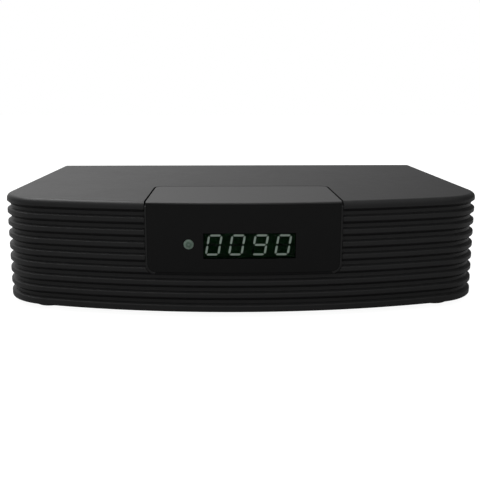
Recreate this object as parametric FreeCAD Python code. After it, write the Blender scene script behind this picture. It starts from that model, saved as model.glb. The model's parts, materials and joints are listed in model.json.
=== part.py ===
import FreeCAD, Part
import math
import os

# A satellite television receiver: a ribbed plastic case with a bowed front, a smoked display window
# under a tongue in the top, and a row of sockets in a steel rear panel.
# Sizes are in millimetres. X runs to the right seen from the front, Y to the back and Z up. The origin is
# under the middle of the whole part, on the plane that its feet stand on.

# Case, as seen from above
case_width = 168.4
case_depth = 122.0
front_bulge = 15.5
corner_radius = 21.0
rear_corner_radius = 2.0

# Walls
wall = 1.75
top_thickness = 2.0
base_thickness = 2.0
top_edge_radius = 1.8
rim_edge_radius = 0.5

# Ribs round the front and the sides, from the lip of the top down to the rim of the base
groove_count = 8
rib_depth = 1.25
crest_height = 1.4
lower_slope = 1.05
floor_height = 1.1
upper_slope = 0.65
lip_height = 2.5
rim_height = 2.2

# Small clearances
slip_fit = 0.15
close_fit = 0.05

# Feet
foot_height = 1.9
foot_radius = 6.2
foot_taper = 1.0
foot_recess = 0.6
foot_from_side = 16.0
front_foot_from_front = 20.5
rear_foot_from_rear = 26.0

# Joint between the two halves of the case
joint_lip_height = 2.0
joint_lip_wall = 1.2
boss_radius = 3.2
boss_wall_bite = 0.4
front_boss_from_front = 40.0
rear_boss_from_rear = 13.0
screw_radius = 1.25
pilot_fit = 0.05
screw_hole_fit = 0.3
case_screw_head_radius = 2.6
case_screw_head = 1.1
case_screw_length = 11.0
case_screw_sink = 0.1
boss_pilot_depth = 13.0

# Rear panel in its slots
panel_thickness = 1.0
panel_recess = 1.2
panel_slot_depth = 0.9
panel_slot_fit = 0.1
panel_hole_fit = 0.3
panel_vent_width = 1.6
panel_vent_height = 5.0
panel_vent_pitch = 4.0
panel_vent_count = 30
panel_vent_from_top = 3.0

# Slots in the base for air
base_vent_width = 2.0
base_vent_length = 26.0
base_vent_pitch = 5.0
base_vent_count = 17
base_vent_from_front = 52.0

# Front bezel: a curved front plate with a tongue that lies in the top
window_ribs = 5
bezel_width = 64.9
bezel_thickness = 3.0
bezel_corner_radius = 3.2
bezel_slope_share = 0.6
tongue_gap = 0.65
tongue_depth = 38.6
tongue_corner_radius = 3.0
tongue_thickness = 2.0
tongue_edge_radius = 0.75
shelf_thickness = 1.5
shelf_margin = 3.0
hook_width = 2.0
hook_height = 6.0
hook_reach = 1.0
hook_thickness = 1.2
hook_clearance = 0.35

# Display window and what shows in it
window_margin = 0.7
window_thickness = 1.6
window_top_margin = 0.1
display_x = 1.8
display_below_top = 14.42
aperture_width = 30.2
aperture_height = 8.45
lamp_x = -18.1
lamp_below_top = 13.9
lamp_radius = 1.65
lamp_proud = 0.15
lamp_flange_radius = 2.3
lamp_flange = 0.8
eye_from_edge = 7.45
eye_radius = 2.4
eye_hole_radius = 3.0

# Four-digit display module
module_width = 30.4
module_height = 10.0
module_depth = 6.1
module_gap = 0.3
digit_pitch = 7.62
digit_height = 7.04
digit_width = 4.75
segment_width = 0.66
segment_gap = 0.24
segment_proud = 0.15
digit_slant = 10.0
digit_shift = -0.28
point_radius = 0.4
shown_digits = "0090"

# Front board
board_thickness = 1.6
front_board_thickness = 1.2
front_board_inset = 1.45
front_board_height = 23.0
chip_lamp_size = 3.0
chip_lamp_depth = 1.9
eye_body_width = 5.4
eye_body_height = 6.4
eye_gap = 0.3
header_pins = 8
header_pin_spacing = 2.54
header_body = 2.5
header_pin_radius = 0.32
header_pin_tail = 1.5

# Main board
standoff_height = 4.0
standoff_radius = 3.2
standoff_pilot_floor = 0.5
board_side_gap = 8.0
board_front_gap = 20.0
board_tab_width = 66.0
board_rear_gap = 0.3
board_screw_inset = 5.0
board_screw_head_radius = 2.8
board_screw_head = 1.6
board_screw_length = 5.0

# Sockets in a row along the rear edge of the board
socket_proud = 0.3
socket_row_margin = 1.0

tuner_width = 30.0
tuner_length = 46.0
tuner_height = 13.5
tuner_wall = 0.5
tuner_panel_gap = 1.0
tuner_lid_thickness = 0.5
tuner_lid_hole_radius = 1.5

barrel_radius = 4.76
barrel_neck_radius = 4.6
barrel_bore_radius = 3.3
barrel_chamfer = 0.4
barrel_spacing = 15.0
barrel_length = 7.0
barrel_height = 7.2
insulator_setback = 0.6
insulator_hole_radius = 0.6
insulator_length = 9.0
insulator_floor = 1.0
nut_flats = 11.0
nut_sides = 6
nut_thickness = 2.4
washer_radius = 6.4
washer_thickness = 0.6

optical_width = 9.8
optical_height = 10.4
optical_length = 13.4
optical_mouth_width = 8.4
optical_mouth_height = 8.0
optical_mouth_depth = 10.0
optical_floor = 1.2
shutter_thickness = 0.8
shutter_fit = 0.15
shutter_setback = 0.5
shutter_pin_radius = 0.45
shutter_pin_length = 0.5
shutter_pin_fit = 0.05
emitter_radius = 1.3
emitter_length = 1.6

av_width = 6.4
av_height = 6.4
av_length = 13.5
av_nose_radius = 2.9
av_bore_radius = 1.8
av_bore_depth = 13.0

video_width = 15.0
video_height = 6.0
video_length = 11.5
video_wall = 0.4
video_chamfer = 1.6
video_mouth_depth = 9.0
video_tongue_width = 12.0
video_tongue_thickness = 1.1
video_tongue_length = 7.5

network_width = 16.0
network_height = 13.4
network_length = 20.0
network_mouth_width = 11.8
network_mouth_height = 7.2
network_mouth_depth = 13.0
network_mouth_floor = 3.6
network_notch_width = 6.2
network_notch_height = 2.0
contact_count = 8
contact_pitch = 1.02
contact_width = 0.4
contact_length = 7.0

data_width = 13.2
data_height = 15.6
data_length = 17.0
data_wall = 0.35
data_mouth_height = 5.1
data_mouth_depth = 12.0
data_lower_mouth = 1.2
data_mouth_pitch = 7.6
data_tongue_side_gap = 0.7
data_tongue_thickness = 1.9
data_tongue_length = 9.5
data_tongue_top_gap = 0.5

power_width = 9.0
power_height = 11.0
power_length = 14.0
power_bore_radius = 2.95
power_bore_depth = 9.5
power_bore_height = 6.5
power_pin_radius = 1.0
power_pin_length = 8.5

switch_flange_width = 15.4
switch_flange_height = 11.0
switch_flange_thickness = 1.5
switch_body_width = 13.6
switch_body_height = 9.0
switch_body_length = 11.0
switch_mouth_width = 12.6
switch_mouth_height = 7.4
switch_mouth_depth = 7.0
switch_centre_height = 7.0
rocker_half_length = 5.4
rocker_rise = 1.6
rocker_keel = 2.2
rocker_side_gap = 0.2
rocker_tilt = 11.0
rocker_flush = 0.2
rocker_pin_radius = 0.9
rocker_pin_length = 0.5
rocker_pin_fit = 0.05

# Parts on the main board
processor_size = 19.0
processor_height = 1.2
processor_x = -8.0
processor_from_front = 24.0
pad_thickness = 0.5
pad_inset = 1.0
sink_size = 32.0
sink_base = 2.5
sink_height = 13.0
fin_count = 9
fin_thickness = 1.2
memory_width = 9.0
memory_length = 13.0
memory_height = 1.1
memory_gap = 5.0
memory_spacing = 16.0
flash_width = 8.0
flash_length = 6.0
flash_height = 0.9
flash_gap = 4.0
capacitor_radius = 4.0
capacitor_height = 12.0
capacitor_count = 4
capacitor_pitch = 10.5
capacitor_from_rear = 30.0
capacitor_side_inset = 6.0
coil_size = 7.0
coil_height = 4.2
coil_count = 3
coil_pitch = 10.0
coil_gap = 4.0
crystal_width = 11.0
crystal_length = 4.6
crystal_height = 3.4
crystal_gap = 4.0

# Heights that follow
groove_height = upper_slope + floor_height + lower_slope
rib_pitch = groove_height + crest_height
case_bottom = foot_height
base_top = case_bottom + base_thickness
rim_top = case_bottom + rim_height
split_z = rim_top + upper_slope
lip_bottom = rim_top + groove_count * groove_height + (groove_count - 1) * crest_height
case_top = lip_bottom + lip_height
ceiling_z = case_top - top_thickness
board_bottom = base_top + standoff_height
board_top = board_bottom + board_thickness
bezel_bottom = lip_bottom - window_ribs * rib_pitch - bezel_slope_share * lower_slope
display_z = case_top - display_below_top
lamp_z = case_top - lamp_below_top

# Depths that follow. The sockets for the dish stand furthest out at the back.
nut_stack = washer_thickness + nut_thickness
barrel_reach = nut_stack + barrel_length - panel_recess
rear_y = (case_depth - barrel_reach) / 2
front_y = rear_y - case_depth
panel_outer = rear_y - panel_recess
panel_inner = panel_outer - panel_thickness
socket_face = panel_outer + socket_proud
board_rear = panel_inner - board_rear_gap
board_front = front_y + board_front_gap
beyond = 5.0
# Two places nearer than this count as one
same_place = 1e-3

# Widths that follow
front_radius = ((case_width / 2) ** 2 + front_bulge ** 2) / (2 * front_bulge)
inner_inset = rib_depth + wall
inner_half = case_width / 2 - inner_inset
board_half = inner_half - board_side_gap
boss_x = inner_half - boss_radius + boss_wall_bite
eye_x = bezel_width / 2 - eye_from_edge
front_board_width = bezel_width - 2 * front_board_inset


def box(x0, x1, y0, y1, z0, z1):
    return Part.makeBox(x1 - x0, y1 - y0, z1 - z0, FreeCAD.Vector(x0, y0, z0))


def block(x, width, y0, y1, z0, height):
    return box(x - width / 2, x + width / 2, y0, y1, z0, z0 + height)


def rod(radius, x, y, z, length, direction):
    return Part.makeCylinder(radius, length, FreeCAD.Vector(x, y, z), FreeCAD.Vector(*direction))


def upright(radius, x, y, z0, z1):
    return rod(radius, x, y, z0, z1 - z0, (0, 0, 1))


def along_y(radius, x, z, y0, y1):
    return rod(radius, x, y0, z, y1 - y0, (0, 1, 0))


def fused(shapes):
    first, *others = shapes
    return first.fuse(others).removeSplitter() if others else first


def outline(inset, z, back=None):
    """The case seen from above, drawn in by inset at the sides and the front."""
    back = rear_y if back is None else back
    half = case_width / 2 - inset
    arc_y = front_y + front_radius
    corner_x = case_width / 2 - corner_radius
    corner_y = arc_y - math.sqrt((front_radius - corner_radius) ** 2 - corner_x ** 2)
    turn = math.atan2(corner_y - arc_y, corner_x)
    radius = corner_radius - inset
    rear = rear_corner_radius
    bevel = rear * (1 - math.sqrt(0.5))

    def at(x, y):
        return FreeCAD.Vector(x, y, z)

    def corner(side, angle):
        return at(side * (corner_x + radius * math.cos(angle)), corner_y + radius * math.sin(angle))

    edges = [Part.LineSegment(at(half, back - rear), corner(1, 0))]
    edges.append(Part.Arc(corner(1, 0), corner(1, turn / 2), corner(1, turn)))
    edges.append(Part.Arc(corner(1, turn), at(0, front_y + inset), corner(-1, turn)))
    edges.append(Part.Arc(corner(-1, turn), corner(-1, turn / 2), corner(-1, 0)))
    edges.append(Part.LineSegment(corner(-1, 0), at(-half, back - rear)))
    edges.append(Part.Arc(at(-half, back - rear), at(-half + bevel, back - bevel), at(-half + rear, back)))
    edges.append(Part.LineSegment(at(-half + rear, back), at(half - rear, back)))
    edges.append(Part.Arc(at(half - rear, back), at(half - bevel, back - bevel), at(half, back - rear)))
    return Part.Wire([edge.toShape() for edge in edges])


def front_at(x, inset):
    """Y of the bowed front at x, drawn in by inset."""
    return front_y + front_radius - math.sqrt((front_radius - inset) ** 2 - x ** 2)


def slab(inset, z0, z1, back=None):
    return Part.Face(outline(inset, z0, back)).extrude(FreeCAD.Vector(0, 0, z1 - z0))


def ring(outer, inner, z0, z1):
    return slab(outer, z0, z1).cut(slab(inner, z0, z1, rear_y + beyond))


def edges_at(shape, z):
    return [e for e in shape.Edges if all(abs(v.Z - z) < same_place for v in e.Vertexes)]


def rounded_face(x0, x1, v0, v1, radius, place, low=True, high=False):
    """A rectangle with its low or high pair of corners rounded. place turns (x, v) into a point."""
    bend = radius * (1 - math.sqrt(0.5))
    r_low = radius if low else 0
    r_high = radius if high else 0
    edges = []

    def line(a, b):
        edges.append(Part.LineSegment(place(*a), place(*b)).toShape())

    def arc(a, m, b):
        edges.append(Part.Arc(place(*a), place(*m), place(*b)).toShape())

    line((x0 + r_low, v0), (x1 - r_low, v0))
    if low:
        arc((x1 - radius, v0), (x1 - bend, v0 + bend), (x1, v0 + radius))
    line((x1, v0 + r_low), (x1, v1 - r_high))
    if high:
        arc((x1, v1 - radius), (x1 - bend, v1 - bend), (x1 - radius, v1))
    line((x1 - r_high, v1), (x0 + r_high, v1))
    if high:
        arc((x0 + radius, v1), (x0 + bend, v1 - bend), (x0, v1 - radius))
    line((x0, v1 - r_high), (x0, v0 + r_low))
    if low:
        arc((x0, v0 + radius), (x0 + bend, v0 + bend), (x0 + radius, v0))
    return Part.Face(Part.Wire(edges))


def front_prism(half, z0, z1, radius):
    """A block through the front wall, with its two lower corners rounded."""
    face = rounded_face(-half, half, z0, z1, radius, lambda x, z: FreeCAD.Vector(x, front_y - beyond, z))
    return face.extrude(FreeCAD.Vector(0, tongue_depth, 0))


def tongue_prism(half, back, z0, z1, radius):
    """A block from in front of the case back into its top, with its two rear corners rounded."""
    start = front_y - beyond
    face = rounded_face(-half, half, start, back, radius, lambda x, y: FreeCAD.Vector(x, y, z0),
                        low=False, high=True)
    return face.extrude(FreeCAD.Vector(0, 0, z1 - z0))


def save(name, shape):
    shape.exportStep(os.path.join("parts", name + ".step"))
    print(name, len(shape.Solids), round(shape.Volume, 1), shape.isValid())


def group(shapes):
    return Part.Compound(shapes)


# Places that several pieces share
boss_places = [(side * boss_x, y) for side in (-1, 1)
               for y in (front_y + front_boss_from_front, rear_y - rear_boss_from_rear)]
foot_x = case_width / 2 - foot_from_side
foot_places = {
    "foot_front_left": (-foot_x, front_y + front_foot_from_front),
    "foot_front_right": (foot_x, front_y + front_foot_from_front),
    "foot_rear_left": (-foot_x, rear_y - rear_foot_from_rear),
    "foot_rear_right": (foot_x, rear_y - rear_foot_from_rear),
}
tuner_rear = panel_inner - tuner_panel_gap
tuner_front = tuner_rear - tuner_length
screw_x = board_half - board_screw_inset
board_screw_places = [(side * screw_x, y) for side in (-1, 1)
                      for y in (board_front + board_screw_inset, tuner_front - board_screw_inset)]
tongue_half = bezel_width / 2 + slip_fit - tongue_gap
tongue_back = front_at(bezel_width / 2, 0) + tongue_depth
module_face = front_at(module_width / 2, window_thickness) + module_gap
front_board_face = module_face + module_depth
front_board_back = front_board_face + front_board_thickness

socket_widths = {
    "tuner": tuner_width,
    "optical": optical_width,
    "av": av_width,
    "video": video_width,
    "network": network_width,
    "data": data_width,
    "power": power_width,
    "switch": switch_flange_width,
}


def socket_row():
    """The middle of each socket, side by side from the right with equal gaps."""
    room = 2 * (board_half - socket_row_margin)
    gap = (room - sum(socket_widths.values())) / (len(socket_widths) - 1)
    middles = {}
    edge = room / 2
    for name, width in socket_widths.items():
        middles[name] = edge - width / 2
        edge -= width + gap
    return middles


socket_x = socket_row()
barrel_xs = [socket_x["tuner"] + side * barrel_spacing / 2 for side in (1, -1)]
barrel_z = board_top + barrel_height
switch_z = board_top + switch_centre_height
power_z = board_top + power_bore_height
av_z = board_top + av_height / 2
shutter_axis_y = socket_face - shutter_setback - shutter_thickness / 2
shutter_axis_z = board_top + optical_floor + optical_mouth_height - shutter_thickness / 2 - shutter_fit
rocker_axis_y = panel_outer + switch_flange_thickness + rocker_flush - rocker_rise
boss_pilot_radius = screw_radius + pilot_fit
screw_hole_radius = screw_radius + screw_hole_fit


def rib_sections():
    """Outlines up the ribbed wall, from the base's rim to the lip of the top."""
    z = split_z
    sections = [outline(rib_depth, z)]
    for groove in range(groove_count):
        z += floor_height
        sections.append(outline(rib_depth, z))
        z += lower_slope
        sections.append(outline(0, z))
        if groove < groove_count - 1:
            z += crest_height
            sections.append(outline(0, z))
            z += upper_slope
            sections.append(outline(rib_depth, z))
    return sections


def panel_slot(z0, z1):
    half = inner_half + panel_slot_depth
    return box(-half, half, panel_inner - panel_slot_fit, panel_outer + panel_slot_fit, z0, z1)


def case_boss(x, y):
    """A post for a case screw, merged with the wall but clear of the base's rim below the joint."""
    post = upright(boss_radius, x, y, split_z, ceiling_z)
    low = upright(boss_radius, x, y, base_top + slip_fit, split_z)
    return fused([post, low.common(slab(inner_inset + slip_fit, base_top, split_z))])


def upper_case():
    lip = slab(0, lip_bottom, case_top)
    lip = lip.makeFillet(top_edge_radius, edges_at(lip, case_top))
    shell = fused([Part.makeLoft(rib_sections(), True, True), lip])
    shell = shell.cut(slab(inner_inset, split_z - beyond, ceiling_z, rear_y + beyond))
    shelf_half = bezel_width / 2 + shelf_margin
    shelf = slab(bezel_thickness + slip_fit, ceiling_z - shelf_thickness, ceiling_z)
    shelf = shelf.common(box(-shelf_half, shelf_half, front_y, tongue_back + shelf_margin,
                             ceiling_z - shelf_thickness, ceiling_z))
    shell = fused([shell, shelf] + [case_boss(x, y) for x, y in boss_places])
    cuts = [upright(boss_pilot_radius, x, y, base_top, base_top + boss_pilot_depth) for x, y in boss_places]
    cuts.append(panel_slot(split_z - beyond, ceiling_z + panel_slot_depth))
    opening_half = bezel_width / 2 + slip_fit
    front_cut = ring(-beyond, bezel_thickness + slip_fit, bezel_bottom - beyond, case_top + beyond)
    cuts.append(front_cut.common(front_prism(opening_half, bezel_bottom - slip_fit, case_top + beyond,
                                             bezel_corner_radius + slip_fit)))
    cuts.append(tongue_prism(tongue_half + tongue_gap, tongue_back + tongue_gap,
                             case_top - tongue_thickness, case_top + beyond,
                             tongue_corner_radius + tongue_gap))
    return shell.cut(cuts)


def lower_case():
    base = slab(0, case_bottom, rim_top)
    base = base.makeFillet(rim_edge_radius, edges_at(base, case_bottom))
    slope = Part.makeLoft([outline(0, rim_top), outline(rib_depth, split_z)], True, True)
    tray = fused([base, slope]).cut(slab(inner_inset, base_top, split_z + beyond, rear_y + beyond))
    lip_outer = inner_inset + slip_fit
    lip_top = split_z + joint_lip_height
    lip = slab(lip_outer, base_top, lip_top).cut(slab(lip_outer + joint_lip_wall, base_top, lip_top,
                                                       rear_y + beyond))
    lip_end = panel_inner - panel_slot_fit - slip_fit
    lip = lip.cut([box(-case_width, case_width, lip_end, rear_y + beyond, base_top, lip_top)]
                  + [upright(boss_radius + slip_fit, x, y, base_top, lip_top) for x, y in boss_places])
    posts = [upright(standoff_radius, x, y, base_top, board_bottom) for x, y in board_screw_places]
    tray = fused([tray] + lip.Solids + posts)
    cuts = [upright(screw_radius + pilot_fit, x, y, base_top - standoff_pilot_floor, board_bottom)
            for x, y in board_screw_places]
    for x, y in boss_places:
        cuts.append(upright(screw_hole_radius, x, y, case_bottom, base_top))
        cuts.append(upright(case_screw_head_radius + slip_fit, x, y, case_bottom,
                            case_bottom + case_screw_head + case_screw_sink))
    for x, y in foot_places.values():
        cuts.append(upright(foot_radius + slip_fit, x, y, case_bottom, case_bottom + foot_recess))
    cuts.append(panel_slot(base_top - panel_slot_depth, split_z + beyond))
    start = front_y + base_vent_from_front
    for x in spread(base_vent_count, base_vent_pitch):
        cuts.append(slot_along_y(x, base_vent_width / 2, start, start + base_vent_length))
    return tray.cut(cuts)


def spread(count, pitch, middle=0.0):
    return [middle + (i - (count - 1) / 2) * pitch for i in range(count)]


def slot_along_y(x, radius, y0, y1):
    z0, z1 = case_bottom - beyond, base_top + beyond
    ends = [upright(radius, x, y, z0, z1) for y in (y0 + radius, y1 - radius)]
    return fused([box(x - radius, x + radius, y0 + radius, y1 - radius, z0, z1)] + ends)


def foot(x, y):
    cone = Part.makeCone(foot_radius - foot_taper, foot_radius, foot_height, FreeCAD.Vector(x, y, 0))
    return fused([cone, upright(foot_radius, x, y, foot_height, foot_height + foot_recess)])


def case_screw(x, y):
    head_top = case_bottom + case_screw_head + case_screw_sink
    head = upright(case_screw_head_radius, x, y, case_bottom + case_screw_sink, head_top)
    shank = upright(screw_radius, x, y, head_top, head_top + case_screw_length)
    cross = cross_recess(x, y, case_bottom + case_screw_sink)
    return fused([head, shank]).cut(cross)


def cross_recess(x, y, z, depth=0.6, arm=1.5, width=0.5):
    """A cross for a driver, depth deep on both sides of the head's face at z."""
    return [box(x - a, x + a, y - b, y + b, z - depth, z + depth) for a, b in ((arm, width), (width, arm))]


def board_screw(x, y):
    head = upright(board_screw_head_radius, x, y, board_top, board_top + board_screw_head)
    shank = upright(screw_radius, x, y, board_top - board_screw_length, board_top)
    return fused([head, shank]).cut(cross_recess(x, y, board_top + board_screw_head))


def front_bezel():
    plate = ring(0, bezel_thickness, bezel_bottom, case_top)
    plate = plate.common(front_prism(bezel_width / 2, bezel_bottom, case_top - tongue_thickness,
                                     bezel_corner_radius))
    tongue = slab(0, case_top - tongue_thickness, case_top)
    tongue = tongue.common(tongue_prism(tongue_half, tongue_back, case_top - tongue_thickness, case_top,
                                        tongue_corner_radius))
    bezel = fused([plate, tongue])
    front_edges = [e for e in edges_at(bezel, case_top) if e.BoundBox.YMin < front_y + same_place]
    bezel = bezel.makeFillet(tongue_edge_radius, front_edges)
    recess = ring(-beyond, window_thickness, bezel_bottom, case_top)
    recess = recess.common(window_prism(close_fit))
    through = front_y - beyond, front_y + bezel_thickness + beyond
    holes = [block(display_x, module_width + 2 * slip_fit, *through,
                   display_z - module_height / 2 - slip_fit, module_height + 2 * slip_fit)]
    holes.append(along_y(lamp_flange_radius + slip_fit, lamp_x, lamp_z, *through))
    holes.append(along_y(eye_hole_radius, eye_x, lamp_z, *through))
    return fused([bezel.cut([recess] + holes)] + bezel_hooks())


def bezel_hooks():
    """Two barbs that catch behind the front wall."""
    middle = (bezel_bottom + case_top - tongue_thickness) / 2
    z0, z1 = middle - hook_height / 2, middle + hook_height / 2
    hooks = []
    for side in (-1, 1):
        outer = bezel_width / 2
        root = outer - hook_width
        start = front_at(root, bezel_thickness) - slip_fit
        catch = front_at(outer + hook_reach, inner_inset) + hook_clearance
        leg = [side * root, side * outer]
        barb = [side * root, side * (outer + hook_reach)]
        hooks.append(box(min(leg), max(leg), start, catch + hook_thickness, z0, z1))
        hooks.append(box(min(barb), max(barb), catch, catch + hook_thickness, z0, z1))
    return hooks


def window_prism(grow):
    return front_prism(bezel_width / 2 - window_margin + grow, bezel_bottom + window_margin - grow,
                       case_top - tongue_edge_radius - window_top_margin + grow,
                       bezel_corner_radius - window_margin + grow)


def aperture(shrink):
    return block(display_x, aperture_width - 2 * shrink, front_y - beyond, front_y + beyond,
                 display_z - aperture_height / 2 + shrink, aperture_height - 2 * shrink)


def display_window():
    pane = ring(0, window_thickness, bezel_bottom, case_top).common(window_prism(0))
    lamp_hole = along_y(lamp_radius + close_fit, lamp_x, lamp_z, front_y - beyond, front_y + beyond)
    return pane.cut([aperture(0), lamp_hole])


def display_filter():
    return ring(0, window_thickness, bezel_bottom, case_top).common(aperture(close_fit))


def display_module():
    return block(display_x, module_width, module_face, front_board_face,
                 display_z - module_height / 2, module_height)


# Each segment's middle, in shares of the digit's reach from its middle, and whether it lies flat
segment_places = {
    "a": (0, 1, True), "b": (1, 0.5, False), "c": (1, -0.5, False), "d": (0, -1, True),
    "e": (-1, -0.5, False), "f": (-1, 0.5, False), "g": (0, 0, True),
}
segments_of = {
    "0": "abcdef", "1": "bc", "2": "abdeg", "3": "abcdg", "4": "bcfg",
    "5": "acdfg", "6": "acdefg", "7": "abc", "8": "abcdefg", "9": "abcdfg",
}


def segment(digit_x, name):
    share_x, share_z, flat = segment_places[name]
    reach_x = (digit_width - segment_width) / 2
    reach_z = (digit_height - segment_width) / 2
    half = (reach_x if flat else reach_z / 2) - segment_gap
    thick = segment_width / 2
    shape = [(-half, 0), (-half + thick, thick), (half - thick, thick), (half, 0),
             (half - thick, -thick), (-half + thick, -thick)]
    slant = math.tan(math.radians(digit_slant))
    points = []
    for along, across in shape:
        x, z = (along, across) if flat else (across, along)
        x, z = x + share_x * reach_x, z + share_z * reach_z
        points.append(FreeCAD.Vector(digit_x + x + z * slant, module_face - segment_proud, display_z + z))
    face = Part.Face(Part.makePolygon(points + points[:1]))
    return face.extrude(FreeCAD.Vector(0, segment_proud, 0))


def digit_middles():
    return spread(len(shown_digits), digit_pitch, display_x + digit_shift)


def lit_segments():
    return group([segment(x, name) for x, shown in zip(digit_middles(), shown_digits)
                  for name in segments_of[shown]])


def unlit_segments():
    dark = [segment(x, name) for x, shown in zip(digit_middles(), shown_digits)
            for name in segment_places if name not in segments_of[shown]]
    low = display_z - digit_height / 2 + point_radius
    points = [along_y(point_radius, x + digit_pitch / 2 - segment_width, low,
                      module_face - segment_proud, module_face) for x in digit_middles()]
    return group(dark + points)


def led_light_pipe():
    tip = front_at(lamp_x, 0) - lamp_proud
    back = front_board_face - chip_lamp_depth
    pipe = along_y(lamp_radius, lamp_x, lamp_z, tip, back)
    pipe = pipe.makeFillet(lamp_proud, [e for e in pipe.Edges if abs(e.BoundBox.YMax - tip) < same_place])
    return fused([pipe, along_y(lamp_flange_radius, lamp_x, lamp_z, back - lamp_flange, back)])


def status_led():
    return block(lamp_x, chip_lamp_size, front_board_face - chip_lamp_depth, front_board_face,
                 lamp_z - chip_lamp_size / 2, chip_lamp_size)


def ir_receiver():
    face = front_at(eye_x + eye_radius, window_thickness) + eye_gap + eye_radius
    low = lamp_z - eye_body_height / 2
    body = block(eye_x, eye_body_width, face, front_board_face, low, eye_body_height)
    eye = Part.makeSphere(eye_radius, FreeCAD.Vector(eye_x, face, lamp_z))
    eye = eye.cut(box(eye_x - eye_radius, eye_x + eye_radius, face, face + 2 * eye_radius,
                      lamp_z - eye_radius, lamp_z + eye_radius))
    return fused([body, eye])


def header_places():
    return spread(header_pins, header_pin_spacing)


def header_z():
    return board_top + header_body / 2


def front_board():
    board = block(0, front_board_width, front_board_face, front_board_back, board_bottom,
                  front_board_height)
    through = front_board_face - beyond, front_board_back + beyond
    return board.cut([along_y(header_pin_radius + close_fit, x, header_z(), *through)
                      for x in header_places()])


def board_header():
    half = header_pins * header_pin_spacing / 2
    body = box(-half, half, front_board_back, front_board_back + header_body, board_top,
               board_top + header_body)
    pins = [along_y(header_pin_radius, x, header_z(), front_board_face - header_pin_tail,
                    front_board_back + header_body / 2) for x in header_places()]
    return fused([body] + pins)


def main_board():
    board = box(-board_half, board_half, board_front, board_rear, board_bottom, board_top)
    tab = box(-board_tab_width / 2, board_tab_width / 2, front_board_back + slip_fit, board_front,
              board_bottom, board_top)
    holes = [upright(screw_hole_radius, x, y, board_bottom, board_top) for x, y in board_screw_places]
    return fused([board, tab]).cut(holes)


def rear_panel():
    half = inner_half + panel_slot_depth - panel_slot_fit
    low = base_top - panel_slot_depth + panel_slot_fit
    high = ceiling_z + panel_slot_depth - panel_slot_fit
    panel = box(-half, half, panel_inner, panel_outer, low, high)
    reach = panel_inner - beyond, panel_outer + beyond
    fit = panel_hole_fit
    holes = [along_y(barrel_neck_radius + fit, x, barrel_z, *reach) for x in barrel_xs]
    holes.append(along_y(av_nose_radius + fit, socket_x["av"], av_z, *reach))
    for name, width, low, height in (
            ("optical", optical_width, board_top, optical_height),
            ("video", video_width, board_top, video_height),
            ("network", network_width, board_top, network_height),
            ("data", data_width, board_top, data_height),
            ("power", power_width, board_top, power_height),
            ("switch", switch_body_width, switch_z - switch_body_height / 2, switch_body_height)):
        holes.append(block(socket_x[name], width + 2 * fit, *reach, low - fit, height + 2 * fit))
    vent_top = ceiling_z - panel_vent_from_top
    for x in spread(panel_vent_count, panel_vent_pitch):
        holes.append(block(x, panel_vent_width, *reach, vent_top - panel_vent_height, panel_vent_height))
    return panel.cut(holes)


def tuner_frame():
    x = socket_x["tuner"]
    outer = block(x, tuner_width, tuner_front, tuner_rear, board_top, tuner_height)
    inner = block(x, tuner_width - 2 * tuner_wall, tuner_front + tuner_wall, tuner_rear - tuner_wall,
                  board_top, tuner_height)
    middle = (tuner_front + tuner_rear) / 2
    divider = block(x, tuner_width - tuner_wall, middle - tuner_wall / 2, middle + tuner_wall / 2,
                    board_top, tuner_height)
    return fused([outer.cut(inner), divider])


def tuner_lid():
    x = socket_x["tuner"]
    z = board_top + tuner_height
    lid = block(x, tuner_width, tuner_front, tuner_rear, z, tuner_lid_thickness)
    quarter = tuner_length / 4
    holes = [upright(tuner_lid_hole_radius, x, y, z, z + tuner_lid_thickness)
             for y in (tuner_front + quarter, tuner_rear - quarter)]
    return lid.cut(holes)


def lnb_socket(x):
    """A threaded socket for the cable from the dish: a neck through the panel and a wider barrel."""
    neck_end = panel_outer + nut_stack
    tip = neck_end + barrel_length
    neck = along_y(barrel_neck_radius, x, barrel_z, tuner_rear, neck_end)
    barrel = along_y(barrel_radius, x, barrel_z, neck_end, tip)
    barrel = barrel.makeChamfer(barrel_chamfer, [e for e in barrel.Edges if e.BoundBox.YMin > tip - same_place])
    bore = along_y(barrel_bore_radius, x, barrel_z, tip - insulator_setback - insulator_length, tip)
    return fused([neck, barrel]).cut(bore)


def lnb_insulator(x):
    tip = panel_outer + nut_stack + barrel_length - insulator_setback
    base = tip - insulator_length
    plug = along_y(barrel_bore_radius, x, barrel_z, base, tip)
    return plug.cut(along_y(insulator_hole_radius, x, barrel_z, base + insulator_floor, tip))


def lnb_washer(x):
    hole = along_y(barrel_neck_radius + close_fit, x, barrel_z, panel_outer, panel_outer + washer_thickness)
    return along_y(washer_radius, x, barrel_z, panel_outer, panel_outer + washer_thickness).cut(hole)


def lnb_nut(x):
    start = panel_outer + washer_thickness
    turn = 2 * math.pi / nut_sides
    corner = nut_flats / 2 / math.cos(turn / 2)
    points = [FreeCAD.Vector(x + corner * math.cos(turn * i), start, barrel_z + corner * math.sin(turn * i))
              for i in range(nut_sides)]
    face = Part.Face(Part.makePolygon(points + points[:1]))
    nut = face.extrude(FreeCAD.Vector(0, nut_thickness, 0))
    return nut.cut(along_y(barrel_neck_radius + close_fit, x, barrel_z, start, start + nut_thickness))


def optical_mouth():
    floor = board_top + optical_floor
    return block(socket_x["optical"], optical_mouth_width, socket_face - optical_mouth_depth, socket_face,
                 floor, optical_mouth_height)


def shutter_pin_ends(grow):
    """Half the span over the shutter's two hinge pins."""
    return optical_mouth_width / 2 - shutter_fit + shutter_pin_length + grow


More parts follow.
